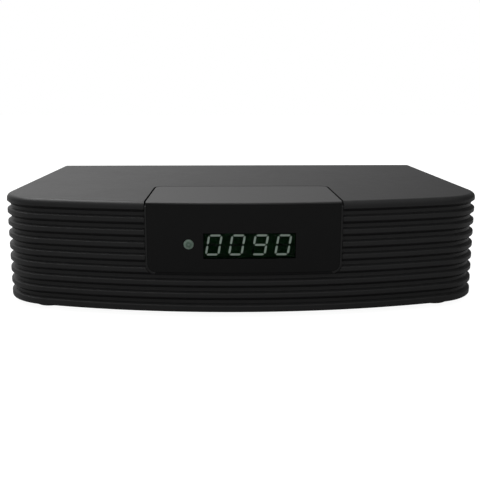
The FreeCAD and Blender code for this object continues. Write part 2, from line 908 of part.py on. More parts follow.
def optical_socket():
    x = socket_x["optical"]
    body = block(x, optical_width, socket_face - optical_length, socket_face, board_top, optical_height)
    reach = shutter_pin_ends(shutter_pin_fit)
    pins = rod(shutter_pin_radius + shutter_pin_fit, x - reach, shutter_axis_y, shutter_axis_z,
               2 * reach, (1, 0, 0))
    return body.cut([optical_mouth(), pins])


def optical_shutter():
    x = socket_x["optical"]
    half = shutter_thickness / 2
    width = optical_mouth_width - 2 * shutter_fit
    low = board_top + optical_floor + shutter_fit
    flap = block(x, width, shutter_axis_y - half, shutter_axis_y + half, low, shutter_axis_z - low)
    knuckle = rod(half, x - width / 2, shutter_axis_y, shutter_axis_z, width, (1, 0, 0))
    reach = shutter_pin_ends(0)
    pins = rod(shutter_pin_radius, x - reach, shutter_axis_y, shutter_axis_z, 2 * reach, (1, 0, 0))
    return fused([flap, knuckle, pins])


def optical_emitter():
    start = socket_face - optical_mouth_depth
    z = board_top + optical_floor + optical_mouth_height / 2 - shutter_thickness
    return along_y(emitter_radius, socket_x["optical"], z, start, start + emitter_length)


def av_socket():
    x = socket_x["av"]
    front = panel_inner - slip_fit
    tip = panel_outer + socket_proud
    body = block(x, av_width, front - av_length, front, board_top, av_height)
    nose = along_y(av_nose_radius, x, av_z, front, tip)
    bore = along_y(av_bore_radius, x, av_z, tip - av_bore_depth, tip)
    return fused([body, nose]).cut(bore)


def trapezoid(x, width, z0, z1, chamfer, y0, y1):
    half = width / 2
    points = [(half, z1), (-half, z1), (-half, z0 + chamfer), (-half + chamfer, z0),
              (half - chamfer, z0), (half, z0 + chamfer)]
    points = [FreeCAD.Vector(x + px, y0, pz) for px, pz in points]
    face = Part.Face(Part.makePolygon(points + points[:1]))
    return face.extrude(FreeCAD.Vector(0, y1 - y0, 0))


def video_mouth_floor():
    return socket_face - video_mouth_depth


def video_socket_shell():
    x = socket_x["video"]
    top = board_top + video_height
    body = trapezoid(x, video_width, board_top, top, video_chamfer, socket_face - video_length, socket_face)
    mouth = trapezoid(x, video_width - 2 * video_wall, board_top + video_wall, top - video_wall,
                      video_chamfer - video_wall / 2, video_mouth_floor(), socket_face)
    return body.cut(mouth)


def video_socket_tongue():
    start = video_mouth_floor()
    z = board_top + video_height / 2
    return block(socket_x["video"], video_tongue_width, start, start + video_tongue_length,
                 z - video_tongue_thickness / 2, video_tongue_thickness)


def network_socket():
    x = socket_x["network"]
    inside = socket_face - network_mouth_depth
    floor = board_top + network_mouth_floor
    body = block(x, network_width, socket_face - network_length, socket_face, board_top, network_height)
    mouth = block(x, network_mouth_width, inside, socket_face, floor, network_mouth_height)
    notch = block(x, network_notch_width, inside, socket_face, floor - network_notch_height,
                  network_notch_height)
    return body.cut([mouth, notch])


def network_contacts():
    """Eight sprung wires along the top of the mouth."""
    inside = socket_face - network_mouth_depth
    low = board_top + network_mouth_floor + network_mouth_height - contact_width
    return group([block(x, contact_width, inside, inside + contact_length, low, contact_width)
                  for x in spread(contact_count, contact_pitch, socket_x["network"])])


def data_mouth_floors():
    return [board_top + data_lower_mouth + i * data_mouth_pitch for i in range(2)]


def data_socket_shell():
    x = socket_x["data"]
    body = block(x, data_width, socket_face - data_length, socket_face, board_top, data_height)
    mouths = [block(x, data_width - 2 * data_wall, socket_face - data_mouth_depth, socket_face, z,
                    data_mouth_height) for z in data_mouth_floors()]
    return body.cut(mouths)


def data_socket_tongues():
    width = data_width - 2 * data_wall - 2 * data_tongue_side_gap
    start = socket_face - data_mouth_depth
    drop = data_mouth_height - data_tongue_top_gap - data_tongue_thickness
    return group([block(socket_x["data"], width, start, start + data_tongue_length, z + drop,
                        data_tongue_thickness) for z in data_mouth_floors()])


def power_socket():
    x = socket_x["power"]
    body = block(x, power_width, socket_face - power_length, socket_face, board_top, power_height)
    return body.cut(along_y(power_bore_radius, x, power_z, socket_face - power_bore_depth, socket_face))


def power_socket_pin():
    start = socket_face - power_bore_depth
    return along_y(power_pin_radius, socket_x["power"], power_z, start, start + power_pin_length)


def rocker_pin_ends(grow):
    """Half the span over the rocker's two pivot pins."""
    return switch_mouth_height / 2 - rocker_side_gap + rocker_pin_length + grow


def switch_housing():
    x = socket_x["switch"]
    front = panel_outer + switch_flange_thickness
    flange = block(x, switch_flange_width, panel_outer, front, switch_z - switch_flange_height / 2,
                   switch_flange_height)
    body = block(x, switch_body_width, panel_outer - switch_body_length, panel_outer,
                 switch_z - switch_body_height / 2, switch_body_height)
    leg = block(x, switch_body_width / 2, panel_outer - switch_body_length, panel_inner - slip_fit,
                board_top, switch_z - board_top)
    mouth = block(x, switch_mouth_width, front - switch_mouth_depth, front,
                  switch_z - switch_mouth_height / 2, switch_mouth_height)
    reach = rocker_pin_ends(rocker_pin_fit)
    pins = upright(rocker_pin_radius + rocker_pin_fit, x, rocker_axis_y, switch_z - reach, switch_z + reach)
    return fused([flange, body, leg]).cut([mouth, pins])


def switch_rocker():
    """A rocker with a shallow valley, pressed down on its left side as seen from the front."""
    x = socket_x["switch"]
    tilt = math.radians(rocker_tilt)
    end = rocker_rise + rocker_half_length * math.tan(tilt)
    profile = [(0, rocker_rise), (rocker_half_length, end), (rocker_half_length, 0), (0, -rocker_keel),
               (-rocker_half_length, 0), (-rocker_half_length, end)]
    half = switch_mouth_height / 2 - rocker_side_gap
    points = [FreeCAD.Vector(x + px, rocker_axis_y + py, switch_z - half) for px, py in profile]
    face = Part.Face(Part.makePolygon(points + points[:1]))
    rocker = face.extrude(FreeCAD.Vector(0, 0, 2 * half))
    reach = rocker_pin_ends(0)
    pins = upright(rocker_pin_radius, x, rocker_axis_y, switch_z - reach, switch_z + reach)
    rocker = fused([rocker, pins])
    rocker.rotate(FreeCAD.Vector(x, rocker_axis_y, switch_z), FreeCAD.Vector(0, 0, 1), rocker_tilt)
    return rocker


processor_y = board_front + processor_from_front


def chip(x, y, width, length, z, height):
    return block(x, width, y - length / 2, y + length / 2, z, height)


def main_processor():
    return chip(processor_x, processor_y, processor_size, processor_size, board_top, processor_height)


def thermal_pad():
    size = processor_size - 2 * pad_inset
    return chip(processor_x, processor_y, size, size, board_top + processor_height, pad_thickness)


def heat_sink():
    z = board_top + processor_height + pad_thickness
    base = chip(processor_x, processor_y, sink_size, sink_size, z, sink_base)
    pitch = (sink_size - fin_thickness) / (fin_count - 1)
    fins = [chip(x, processor_y, fin_thickness, sink_size, z + sink_base, sink_height - sink_base)
            for x in spread(fin_count, pitch, processor_x)]
    return fused([base] + fins)


def memory_chips():
    x = processor_x + sink_size / 2 + memory_gap + memory_width / 2
    return group([chip(x, y, memory_width, memory_length, board_top, memory_height)
                  for y in spread(2, memory_spacing, processor_y)])


def flash_chip():
    x = processor_x - sink_size / 2 - flash_gap - flash_width / 2
    return chip(x, processor_y, flash_width, flash_length, board_top, flash_height)


def capacitor_row_y():
    return board_rear - capacitor_from_rear


def capacitors():
    left = -board_half + capacitor_side_inset
    return group([upright(capacitor_radius, left + i * capacitor_pitch, capacitor_row_y(), board_top,
                          board_top + capacitor_height) for i in range(capacitor_count)])


def power_coils():
    left = -board_half + capacitor_side_inset
    y = capacitor_row_y() - capacitor_radius - coil_gap - coil_size / 2
    return group([chip(left + i * coil_pitch, y, coil_size, coil_size, board_top, coil_height)
                  for i in range(coil_count)])


def crystal():
    y = processor_y - sink_size / 2 - crystal_gap - crystal_length / 2
    return chip(processor_x, y, crystal_width, crystal_length, board_top, crystal_height)


def main():
    os.makedirs("parts", exist_ok=True)
    save("upper_case", upper_case())
    save("lower_case", lower_case())
    save("rear_panel", rear_panel())
    save("front_bezel", front_bezel())
    save("display_window", display_window())
    save("display_filter", display_filter())
    save("display_module", display_module())
    save("lit_segments", lit_segments())
    save("unlit_segments", unlit_segments())
    save("led_light_pipe", led_light_pipe())
    save("status_led", status_led())
    save("ir_receiver", ir_receiver())
    save("front_board", front_board())
    save("board_header", board_header())
    save("main_board", main_board())
    save("main_board_screws", group([board_screw(x, y) for x, y in board_screw_places]))
    save("case_screws", group([case_screw(x, y) for x, y in boss_places]))
    for name, (x, y) in foot_places.items():
        save(name, foot(x, y))
    save("tuner_frame", tuner_frame())
    save("tuner_lid", tuner_lid())
    save("lnb_input_socket", lnb_socket(barrel_xs[0]))
    save("lnb_output_socket", lnb_socket(barrel_xs[1]))
    save("lnb_insulators", group([lnb_insulator(x) for x in barrel_xs]))
    save("lnb_washers", group([lnb_washer(x) for x in barrel_xs]))
    save("lnb_nuts", group([lnb_nut(x) for x in barrel_xs]))
    save("optical_socket", optical_socket())
    save("optical_shutter", optical_shutter())
    save("optical_emitter", optical_emitter())
    save("av_socket", av_socket())
    save("video_socket_shell", video_socket_shell())
    save("video_socket_tongue", video_socket_tongue())
    save("network_socket", network_socket())
    save("network_contacts", network_contacts())
    save("data_socket_shell", data_socket_shell())
    save("data_socket_tongues", data_socket_tongues())
    save("power_socket", power_socket())
    save("power_socket_pin", power_socket_pin())
    save("switch_housing", switch_housing())
    save("switch_rocker", switch_rocker())
    save("main_processor", main_processor())
    save("thermal_pad", thermal_pad())
    save("heat_sink", heat_sink())
    save("memory_chips", memory_chips())
    save("flash_chip", flash_chip())
    save("capacitors", capacitors())
    save("power_coils", power_coils())
    save("crystal", crystal())


main()
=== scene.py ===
import bpy
import bmesh
import json
import math
from mathutils import Matrix, Vector


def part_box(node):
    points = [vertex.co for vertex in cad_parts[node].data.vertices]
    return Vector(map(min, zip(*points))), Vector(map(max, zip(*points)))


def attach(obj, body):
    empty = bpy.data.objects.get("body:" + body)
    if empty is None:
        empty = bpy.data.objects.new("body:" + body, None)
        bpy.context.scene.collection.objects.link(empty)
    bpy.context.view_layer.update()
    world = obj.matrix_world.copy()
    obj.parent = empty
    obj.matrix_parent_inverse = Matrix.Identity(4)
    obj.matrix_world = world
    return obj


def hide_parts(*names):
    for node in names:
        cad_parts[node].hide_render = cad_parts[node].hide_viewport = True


# A satellite television receiver, dressed for a plain studio picture.
# Shapes are worked out in millimetres, in the frame's own axes, and scaled to metres when a piece is made.

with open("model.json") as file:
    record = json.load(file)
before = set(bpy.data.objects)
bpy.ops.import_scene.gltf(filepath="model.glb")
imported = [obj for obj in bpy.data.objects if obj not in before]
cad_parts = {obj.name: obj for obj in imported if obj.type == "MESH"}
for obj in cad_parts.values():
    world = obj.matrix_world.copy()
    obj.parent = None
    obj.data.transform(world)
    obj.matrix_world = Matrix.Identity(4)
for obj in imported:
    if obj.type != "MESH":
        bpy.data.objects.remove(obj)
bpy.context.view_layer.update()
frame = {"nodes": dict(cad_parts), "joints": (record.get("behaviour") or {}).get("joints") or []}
scene = bpy.context.scene
nodes = frame["nodes"]
mm = 0.001
reach = 4.0     # how far a cutting tool passes what it cuts, in millimetres
tiny = 0.001
print("frame loaded,", len(nodes), "nodes")


def nodeBox(name):
    low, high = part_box(name)
    return low / mm, high / mm


def middleOf(name):
    low, high = nodeBox(name)
    return (low + high) / 2


def spread(count, pitch, middle=0.0):
    return [middle + (k - (count - 1) / 2) * pitch for k in range(count)]


# The case as seen from above. Overall places come from the frame, the rest are its own driving sizes
baseLow, baseHigh = nodeBox("lower_case")
topLow, topHigh = nodeBox("upper_case")
paneLow, paneHigh = nodeBox("display_window")
case = {
    "halfWidth": topHigh.x,
    "front": paneLow.y,
    "rear": baseHigh.y,
    "bottom": baseLow.z,
    "top": topHigh.z,
    "bulge": 15.5,
    "corner": 21.0,
    "rearCorner": 2.0,
    "wall": 3.0,             # from the crests in to the hollow
    "topThickness": 2.0,
    "baseThickness": 2.0,
    "topRound": 1.8,
    "topSteps": 7,
    "rimRound": 0.5,
    "rimSteps": 5,
    "frontSteps": 44,        # points from a front corner to the middle
    "cornerSteps": 16,
    "rearSteps": 5,
}
case["radius"] = (case["halfWidth"] ** 2 + case["bulge"] ** 2) / (2 * case["bulge"])
case["arcY"] = case["front"] + case["radius"]
case["cornerX"] = case["halfWidth"] - case["corner"]
case["cornerY"] = case["arcY"] - math.sqrt((case["radius"] - case["corner"]) ** 2 - case["cornerX"] ** 2)

# Ribs round the front and sides, up from the rim of the base
ribs = {
    "grooves": 8,
    "depth": 1.25,
    "crest": 1.4,
    "lowerSlope": 1.05,
    "floor": 1.1,
    "upperSlope": 0.65,
    "rim": 2.2,
    "crestRound": 0.42,
    "floorRound": 0.25,
    "seam": 0.08,            # small round beside the joint between the two halves
    "steps": 4,
}
splitZ = case["bottom"] + ribs["rim"] + ribs["upperSlope"]


# Nodes, groups and materials

# Links what comes from another node, and sets what is a plain value
def feed(tree, node, inputs):
    for key, value in inputs.items():
        if isinstance(value, bpy.types.NodeSocket):
            tree.links.new(value, node.inputs[key])
        else:
            node.inputs[key].default_value = value


def addNode(tree, kind, inputs=None, **settings):
    node = tree.nodes.new(kind)
    for key, value in settings.items():
        setattr(node, key, value)
    feed(tree, node, inputs or {})
    return node


def newGroup(name, inputs, outputs):
    group = bpy.data.node_groups.new(name, "ShaderNodeTree")
    for label, value in inputs.items():
        socket = group.interface.new_socket(label, in_out="INPUT", socket_type="NodeSocketFloat")
        socket.default_value = value
    for label in outputs:
        group.interface.new_socket(label, in_out="OUTPUT", socket_type="NodeSocketFloat")
    entry = group.nodes.new("NodeGroupInput")
    leave = group.nodes.new("NodeGroupOutput")
    return group, entry.outputs, leave


def useGroup(tree, group, values=None):
    node = addNode(tree, "ShaderNodeGroup", node_tree=group)
    feed(tree, node, values or {})
    return node.outputs


def maths(tree, operation, first, second=0.0, clamp=False):
    node = addNode(tree, "ShaderNodeMath", {0: first, 1: second}, operation=operation, use_clamp=clamp)
    return node.outputs[0]


def vectorMaths(tree, operation, first, second=(0.0, 0.0, 0.0), output="Vector"):
    node = addNode(tree, "ShaderNodeVectorMath", {0: first, 1: second}, operation=operation)
    return node.outputs[output]


def between(tree, value, low, high, toLow=0.0, toHigh=1.0):
    node = addNode(tree, "ShaderNodeMapRange", {0: value, 1: low, 2: high, 3: toLow, 4: toHigh})
    return node.outputs[0]


def noise(tree, place, scale, detail=2.0, roughness=0.5, distortion=0.0):
    node = addNode(tree, "ShaderNodeTexNoise", {"Vector": place, "Scale": scale, "Detail": detail,
                                                 "Roughness": roughness, "Distortion": distortion})
    return node.outputs[0]


def objectPlace(tree):
    return addNode(tree, "ShaderNodeTexCoord").outputs["Object"]


def mixNumbers(tree, share, first, second):
    return addNode(tree, "ShaderNodeMix", {0: share, 2: first, 3: second}, data_type="FLOAT").outputs[0]


# Fine spark-eroded grain of a mould, and the broad unevenness that moulded plastic has
def makeGrainGroup():
    group, entry, leave = newGroup("mouldedGrain", {"Scale": 3200.0, "Broad Scale": 45.0},
                                   ("Height", "Mottle"))
    place = objectPlace(group)
    group.links.new(noise(group, place, entry["Scale"], 2.0, 0.55), leave.inputs["Height"])
    group.links.new(noise(group, place, entry["Broad Scale"], 4.0, 0.6), leave.inputs["Mottle"])
    return group


# A mask of the outer edges, broken up so that it reads as handling and not as a drawn line
def makeEdgeGroup():
    group, entry, leave = newGroup("rubbedEdges", {"Radius": 0.0004, "Break Up": 900.0}, ("Mask",))
    soft = addNode(group, "ShaderNodeBevel", {"Radius": entry["Radius"]}, samples=4).outputs[0]
    normal = addNode(group, "ShaderNodeNewGeometry").outputs["Normal"]
    alike = vectorMaths(group, "DOT_PRODUCT", soft, normal, "Value")
    edge = between(group, alike, 0.995, 0.85)     # from flat to turned by 30 degrees
    chips = noise(group, objectPlace(group), entry["Break Up"], 3.0)
    worn = between(group, chips, 0.35, 0.65, 0.25, 1.0)
    group.links.new(maths(group, "MULTIPLY", edge, worn), leave.inputs["Mask"])
    return group


# A thin film of dust, more of it where the surface faces up
def makeDustGroup():
    group, entry, leave = newGroup("dustFilm", {"Scale": 240.0, "Amount": 0.3}, ("Mask",))
    specks = noise(group, objectPlace(group), entry["Scale"], 8.0, 0.7)
    normal = addNode(group, "ShaderNodeNewGeometry").outputs["Normal"]
    up = addNode(group, "ShaderNodeSeparateXYZ", {0: normal}).outputs["Z"]
    facing = between(group, up, -0.2, 1.0, 0.15, 1.0)
    film = maths(group, "MULTIPLY", between(group, specks, 0.42, 0.72), facing)
    group.links.new(maths(group, "MULTIPLY", film, entry["Amount"]), leave.inputs["Mask"])
    return group


# Drawn or rolled metal: long fine streaks, and slow changes of tone
def makeStreakGroup():
    group, entry, leave = newGroup("rolledMetal", {"Scale": 900.0, "Stretch": 0.04, "Broad Scale": 70.0},
                                   ("Height", "Tone"))
    place = objectPlace(group)
    parts = addNode(group, "ShaderNodeSeparateXYZ", {0: place}).outputs
    squeezed = maths(group, "MULTIPLY", parts["X"], entry["Stretch"])
    along = addNode(group, "ShaderNodeCombineXYZ", {"X": squeezed, "Y": parts["Y"], "Z": parts["Z"]})
    along = along.outputs[0]
    group.links.new(noise(group, along, entry["Scale"], 4.0), leave.inputs["Height"])
    group.links.new(noise(group, place, entry["Broad Scale"], 5.0), leave.inputs["Tone"])
    return group


# Finger smears on something polished
def makeSmearGroup():
    group, entry, leave = newGroup("fingerSmears", {"Scale": 55.0, "Amount": 0.5}, ("Mask",))
    smear = between(group, noise(group, objectPlace(group), entry["Scale"], 6.0, 0.62, 1.4), 0.45, 0.7)
    group.links.new(maths(group, "MULTIPLY", smear, entry["Amount"]), leave.inputs["Mask"])
    return group


grainGroup = makeGrainGroup()
edgeGroup = makeEdgeGroup()
dustGroup = makeDustGroup()
streakGroup = makeStreakGroup()
smearGroup = makeSmearGroup()


def newMaterial(name):
    material = bpy.data.materials.new(name)
    material.use_nodes = True
    return material, material.node_tree, material.node_tree.nodes["Principled BSDF"]


def blendColours(tree, mask, first, second):
    first, second = ((*c, 1.0) if isinstance(c, tuple) else c for c in (first, second))
    return addNode(tree, "ShaderNodeMix", {0: mask, 6: first, 7: second}, data_type="RGBA").outputs[2]


def bumpFrom(tree, height, distance):
    bump = addNode(tree, "ShaderNodeBump", {"Strength": 1.0, "Distance": distance, "Height": height})
    return bump.outputs[0]


def shaded(colour, gain, lift=0.0):
    return tuple(gain * c + lift for c in colour)


# How far wear and dust change any plastic
plasticWear = {
    "mottle": 3.0,           # change of colour, as a multiple of the unevenness of its sheen
    "rubbedGain": 1.9,
    "rubbedLift": 0.012,
    "dustColour": (0.28, 0.27, 0.25),
    "dustCover": 0.12,
    "dustDulls": 0.25,
}
metalWear = {
    "dull": 0.14,            # darker share of the slow changes of tone
    "edgeRadius": 0.00025,
    "edgeShine": 0.5,
    "edgeGain": 1.15,
    "polish": 0.05,
    "haze": 0.14,
}


# Moulded plastic: grain, uneven sheen, rubbed edges and a little dust
def plastic(name, colour, roughness, specular=0.5, grain=0.000012, grainScale=3200.0, worn=0.35, dust=0.12,
            uneven=0.045):
    material, tree, shader = newMaterial(name)
    pattern = useGroup(tree, grainGroup, {"Scale": grainScale})
    edges = useGroup(tree, edgeGroup)["Mask"]
    film = useGroup(tree, dustGroup, {"Amount": dust})["Mask"]
    mottle = plasticWear["mottle"] * uneven
    base = blendColours(tree, pattern["Mottle"], shaded(colour, 1 - mottle), shaded(colour, 1 + mottle))
    base = blendColours(tree, maths(tree, "MULTIPLY", edges, worn), base,
                        shaded(colour, plasticWear["rubbedGain"], plasticWear["rubbedLift"]))
    base = blendColours(tree, maths(tree, "MULTIPLY", film, plasticWear["dustCover"]), base,
                        plasticWear["dustColour"])
    sheen = between(tree, pattern["Mottle"], 0.3, 0.7, roughness - uneven, roughness + uneven)
    dulled = maths(tree, "MULTIPLY", film, plasticWear["dustDulls"])
    feed(tree, shader, {"Base Color": base, "Roughness": maths(tree, "ADD", sheen, dulled, clamp=True),
                        "Specular IOR Level": specular, "Normal": bumpFrom(tree, pattern["Height"], grain)})
    return material


# Bare or plated metal: rolling streaks in its gloss, and a dull film in slow patches
def metal(name, colour, roughness, scale=900.0, height=0.000004):
    material, tree, shader = newMaterial(name)
    streaks = useGroup(tree, streakGroup, {"Scale": scale})
    edges = useGroup(tree, edgeGroup, {"Radius": metalWear["edgeRadius"]})["Mask"]
    dulled = shaded(colour, 1 - metalWear["dull"])
    base = blendColours(tree, between(tree, streaks["Tone"], 0.35, 0.7), dulled, colour)
    base = blendColours(tree, maths(tree, "MULTIPLY", edges, metalWear["edgeShine"]), base,
                        shaded(colour, metalWear["edgeGain"]))
    uneven = maths(tree, "MULTIPLY", streaks["Height"], streaks["Tone"])
    gloss = between(tree, uneven, 0.1, 0.45, roughness - metalWear["polish"], roughness + metalWear["haze"])
    feed(tree, shader, {"Base Color": base, "Metallic": 1.0, "Roughness": gloss,
                        "Normal": bumpFrom(tree, streaks["Height"], height)})
    return material


print("shared effects ready")


# Mesh tools. Each works on a bmesh in millimetres

# Rounds the corners of a line of points; a radius of zero leaves its corner sharp
def rounded(points, radii, steps=4, closed=False):
    line = []
    count = len(points)
    for i, (point, radius) in enumerate(zip(points, radii)):
        if radius == 0 or (not closed and i in (0, count - 1)):
            line.append(tuple(point))
            continue
        here = Vector(point)
        toLast = (Vector(points[i - 1]) - here).normalized()
        toNext = (Vector(points[(i + 1) % count]) - here).normalized()
        half = toLast.angle(toNext) / 2
        start = here + toLast * (radius / math.tan(half))
        centre = here + (toLast + toNext).normalized() * (radius / math.sin(half))
        spoke = start - centre
        turn = math.pi - 2 * half
        if toLast.x * toNext.y - toLast.y * toNext.x > 0:
            turn = -turn
        for k in range(steps + 1):
            angle = turn * k / steps
            line.append((centre.x + spoke.x * math.cos(angle) - spoke.y * math.sin(angle),
                         centre.y + spoke.x * math.sin(angle) + spoke.y * math.cos(angle)))
    return line


# The case seen from above, drawn in by inset at the sides and front and by rearInset at the back
def planOutline(inset, rearInset=0.0):
    half = case["halfWidth"] - inset
    back = case["rear"] - rearInset
    rearRadius = max(case["rearCorner"] - rearInset, 0.4)
    cornerRadius = case["corner"] - inset
    start = math.atan2(case["cornerY"] - case["arcY"], case["cornerX"])
    side = []
    for k in range(case["rearSteps"] + 1):
        angle = math.pi / 2 * k / case["rearSteps"]
        side.append((half - rearRadius + rearRadius * math.sin(angle),
                     back - rearRadius + rearRadius * math.cos(angle)))
    for k in range(case["cornerSteps"] + 1):
        angle = start * k / case["cornerSteps"]
        side.append((case["cornerX"] + cornerRadius * math.cos(angle),
                     case["cornerY"] + cornerRadius * math.sin(angle)))
    for k in range(1, case["frontSteps"]):
        angle = start + (-math.pi / 2 - start) * k / case["frontSteps"]
        side.append(((case["radius"] - inset) * math.cos(angle),
                     case["arcY"] + (case["radius"] - inset) * math.sin(angle)))
    return side + [(0.0, case["front"] + inset)] + [(-x, y) for x, y in reversed(side)]


def frontAt(x, depth=0.0):
    return case["arcY"] - math.sqrt((case["radius"] - depth) ** 2 - x * x)


# A closed skin through outlines of equal length, with flat ends
def skin(rings, capped=True):
    bm = bmesh.new()
    loops = [[bm.verts.new(point) for point in ring] for ring in rings]
    for low, high in zip(loops, loops[1:]):
        for i in range(len(low)):
            j = (i + 1) % len(low)
            bm.faces.new((low[i], low[j], high[j], high[i]))
    if capped:
        bm.faces.new(loops[0][::-1])
        bm.faces.new(loops[-1])
    bmesh.ops.recalc_face_normals(bm, faces=bm.faces)
    return bm


def prism(outline, low, high, axis="z"):
    return skin([[(u, v, w) if axis == "z" else (u, w, v) for u, v in outline] for w in (low, high)])


def rectangle(u0, u1, v0, v1, radius=0.0, steps=6):
    points = [(u0, v0), (u1, v0), (u1, v1), (u0, v1)]
    radii = radius if isinstance(radius, (tuple, list)) else [radius] * 4
    return rounded(points, radii, steps, closed=True)


def circle(radius, u=0.0, v=0.0, steps=48):
    angles = [2 * math.pi * k / steps for k in range(steps)]
    return [(u + radius * math.cos(angle), v + radius * math.sin(angle)) for angle in angles]


# Turns a closed or open profile of (radius, place) about an axis through the point
def lathe(profile, point, axis="z", steps=48, closed=False):
    bm = bmesh.new()
    rows = []
    for radius, along in profile:
        row = []
        for k in range(steps):
            angle = 2 * math.pi * k / steps
            u, v = radius * math.cos(angle), radius * math.sin(angle)
            row.append(bm.verts.new({"z": (point[0] + u, point[1] + v, along),
                                     "y": (point[0] + u, along, point[1] + v)}[axis]))
            if radius == 0:
                break
        rows.append(row)
    pairs = list(zip(rows, rows[1:])) + ([(rows[-1], rows[0])] if closed else [])
    for low, high in pairs:
        for k in range(steps):
            after = k + 1
            corners = [low[k % len(low)], low[after % len(low)],
                       high[after % len(high)], high[k % len(high)]]
            corners = [c for i, c in enumerate(corners) if c not in corners[:i]]
            if len(corners) > 2:
                bm.faces.new(corners)
    if not closed:
        for row in (rows[0], rows[-1]):
            if len(row) > 1:
                bm.faces.new(row)
    bmesh.ops.recalc_face_normals(bm, faces=bm.faces)
    return bm


def joined(parts):
    whole = bmesh.new()
    for part in parts:
        mesh = bpy.data.meshes.new("part")
        part.to_mesh(mesh)
        part.free()
        whole.from_mesh(mesh)
        bpy.data.meshes.remove(mesh)
    return whole


def looseObject(bm, name):
    mesh = bpy.data.meshes.new(name)
    bm.to_mesh(mesh)
    bm.free()
    made = bpy.data.objects.new(name, mesh)
    scene.collection.objects.link(made)
    return made


# Cuts the tools out of a solid, or adds them to it
def carve(solid, tools, operation="DIFFERENCE"):
    block = looseObject(solid, "block")
    cutter = looseObject(joined(tools), "cutter")
    modifier = block.modifiers.new("carve", "BOOLEAN")
    modifier.operation = operation
    modifier.solver = "EXACT"
    modifier.use_self = True
    modifier.object = cutter
    depsgraph = bpy.context.evaluated_depsgraph_get()
    mesh = bpy.data.meshes.new_from_object(block.evaluated_get(depsgraph))
    result = bmesh.new()
    result.from_mesh(mesh)
    used = [block.data, cutter.data, mesh]
    for thing in (block, cutter):
        bpy.data.objects.remove(thing)
    for old in used:
        bpy.data.meshes.remove(old)
    bmesh.ops.remove_doubles(result, verts=result.verts, dist=tiny / 2)
    bmesh.ops.dissolve_degenerate(result, edges=result.edges, dist=tiny / 2)
    return result


# Rounds the sharp edges that the test picks
def soften(bm, width, segments=2, least=28.0, where=None):
    sharp = math.radians(least)
    edges = [e for e in bm.edges
             if len(e.link_faces) == 2 and e.calc_face_angle(0.0) > sharp and (where is None or where(e))]
    bmesh.ops.bevel(bm, geom=edges, offset=width, offset_type="OFFSET", segments=segments, profile=0.5,
                    affect="EDGES", clamp_overlap=True)
    return bm


# Adds lines across a flat plate, so that it can follow the bow of the front
def sliced(bm, half, step):
    count = math.ceil(half / step)
    for k in range(-count + 1, count):
        bmesh.ops.bisect_plane(bm, geom=bm.verts[:] + bm.edges[:] + bm.faces[:], dist=tiny / 10,
                               plane_co=(k * half / count, 0, 0), plane_no=(1, 0, 0))
    return bm


# Lays a flat plate, whose y is its depth behind the front, on the bow. Past fadeFrom the bow dies out
def bowed(bm, fadeFrom=None, fadeTo=None):
    for vert in bm.verts:
        x, depth = vert.co.x, vert.co.y
        within = min(depth, case["wall"])
        bow = frontAt(x, within) - case["front"] - within
        share = 1.0
        if fadeFrom is not None and depth > fadeFrom:
            share = max(0.0, (fadeTo - depth) / (fadeTo - fadeFrom))
        vert.co.y = case["front"] + depth + bow * share
    return bm


def finished(bm, name, material, body="chassis", replaced=(), sharp=32.0, even=True):
    bmesh.ops.recalc_face_normals(bm, faces=bm.faces)
    bmesh.ops.transform(bm, matrix=Matrix.Scale(mm, 4), verts=bm.verts)
    made = looseObject(bm, name)
    mesh = made.data
    mesh.polygons.foreach_set("use_smooth", [True] * len(mesh.polygons))
    mesh.set_sharp_from_angle(angle=math.radians(sharp))
    if even:
        modifier = made.modifiers.new("evenShading", "WEIGHTED_NORMAL")
        modifier.keep_sharp = True
        modifier.mode = "FACE_AREA_WITH_ANGLE"
    mesh.materials.append(material)
    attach(made, body)
    if replaced:
        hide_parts(*replaced)
    return made


# A frame piece whose shape is right keeps it, and gets small rounds on its edges and a finish
def dressed(names, material, width=0.12, segments=2, least=38.0):
    for name in names:
        node = nodes[name]
        node.data.materials.clear()
        node.data.materials.append(material)
        weld = node.modifiers.new("weld", "WELD")
        weld.merge_threshold = 2 * tiny * mm
        bevel = node.modifiers.new("softEdges", "BEVEL")
        bevel.width = width * mm
        bevel.segments = segments
        bevel.limit_method = "ANGLE"
        bevel.angle_limit = math.radians(least)
        bevel.harden_normals = False
        even = node.modifiers.new("evenShading", "WEIGHTED_NORMAL")
        even.keep_sharp = True
        for polygon in node.data.polygons:
            polygon.use_smooth = True


# Studio: camera at the photograph's angle, white surroundings, one big soft lamp

camera = {
    "place": (-5.98, -293.25, 73.58),
    "below": 11.671,         # degrees under the level
    "aside": 1.165,          # degrees to the right
    "focalPixels": 715.68,
    "framePixels": 480,
    "sensor": 36.0,
}
cameraData = bpy.data.cameras.new("camera")
cameraData.sensor_width = camera["sensor"]
cameraData.lens = camera["focalPixels"] / camera["framePixels"] * camera["sensor"]
cameraObject = bpy.data.objects.new("camera", cameraData)
cameraObject.location = Vector(camera["place"]) * mm
cameraObject.rotation_euler = (math.radians(90 - camera["below"]), 0, -math.radians(camera["aside"]))
scene.collection.objects.link(cameraObject)
scene.camera = cameraObject

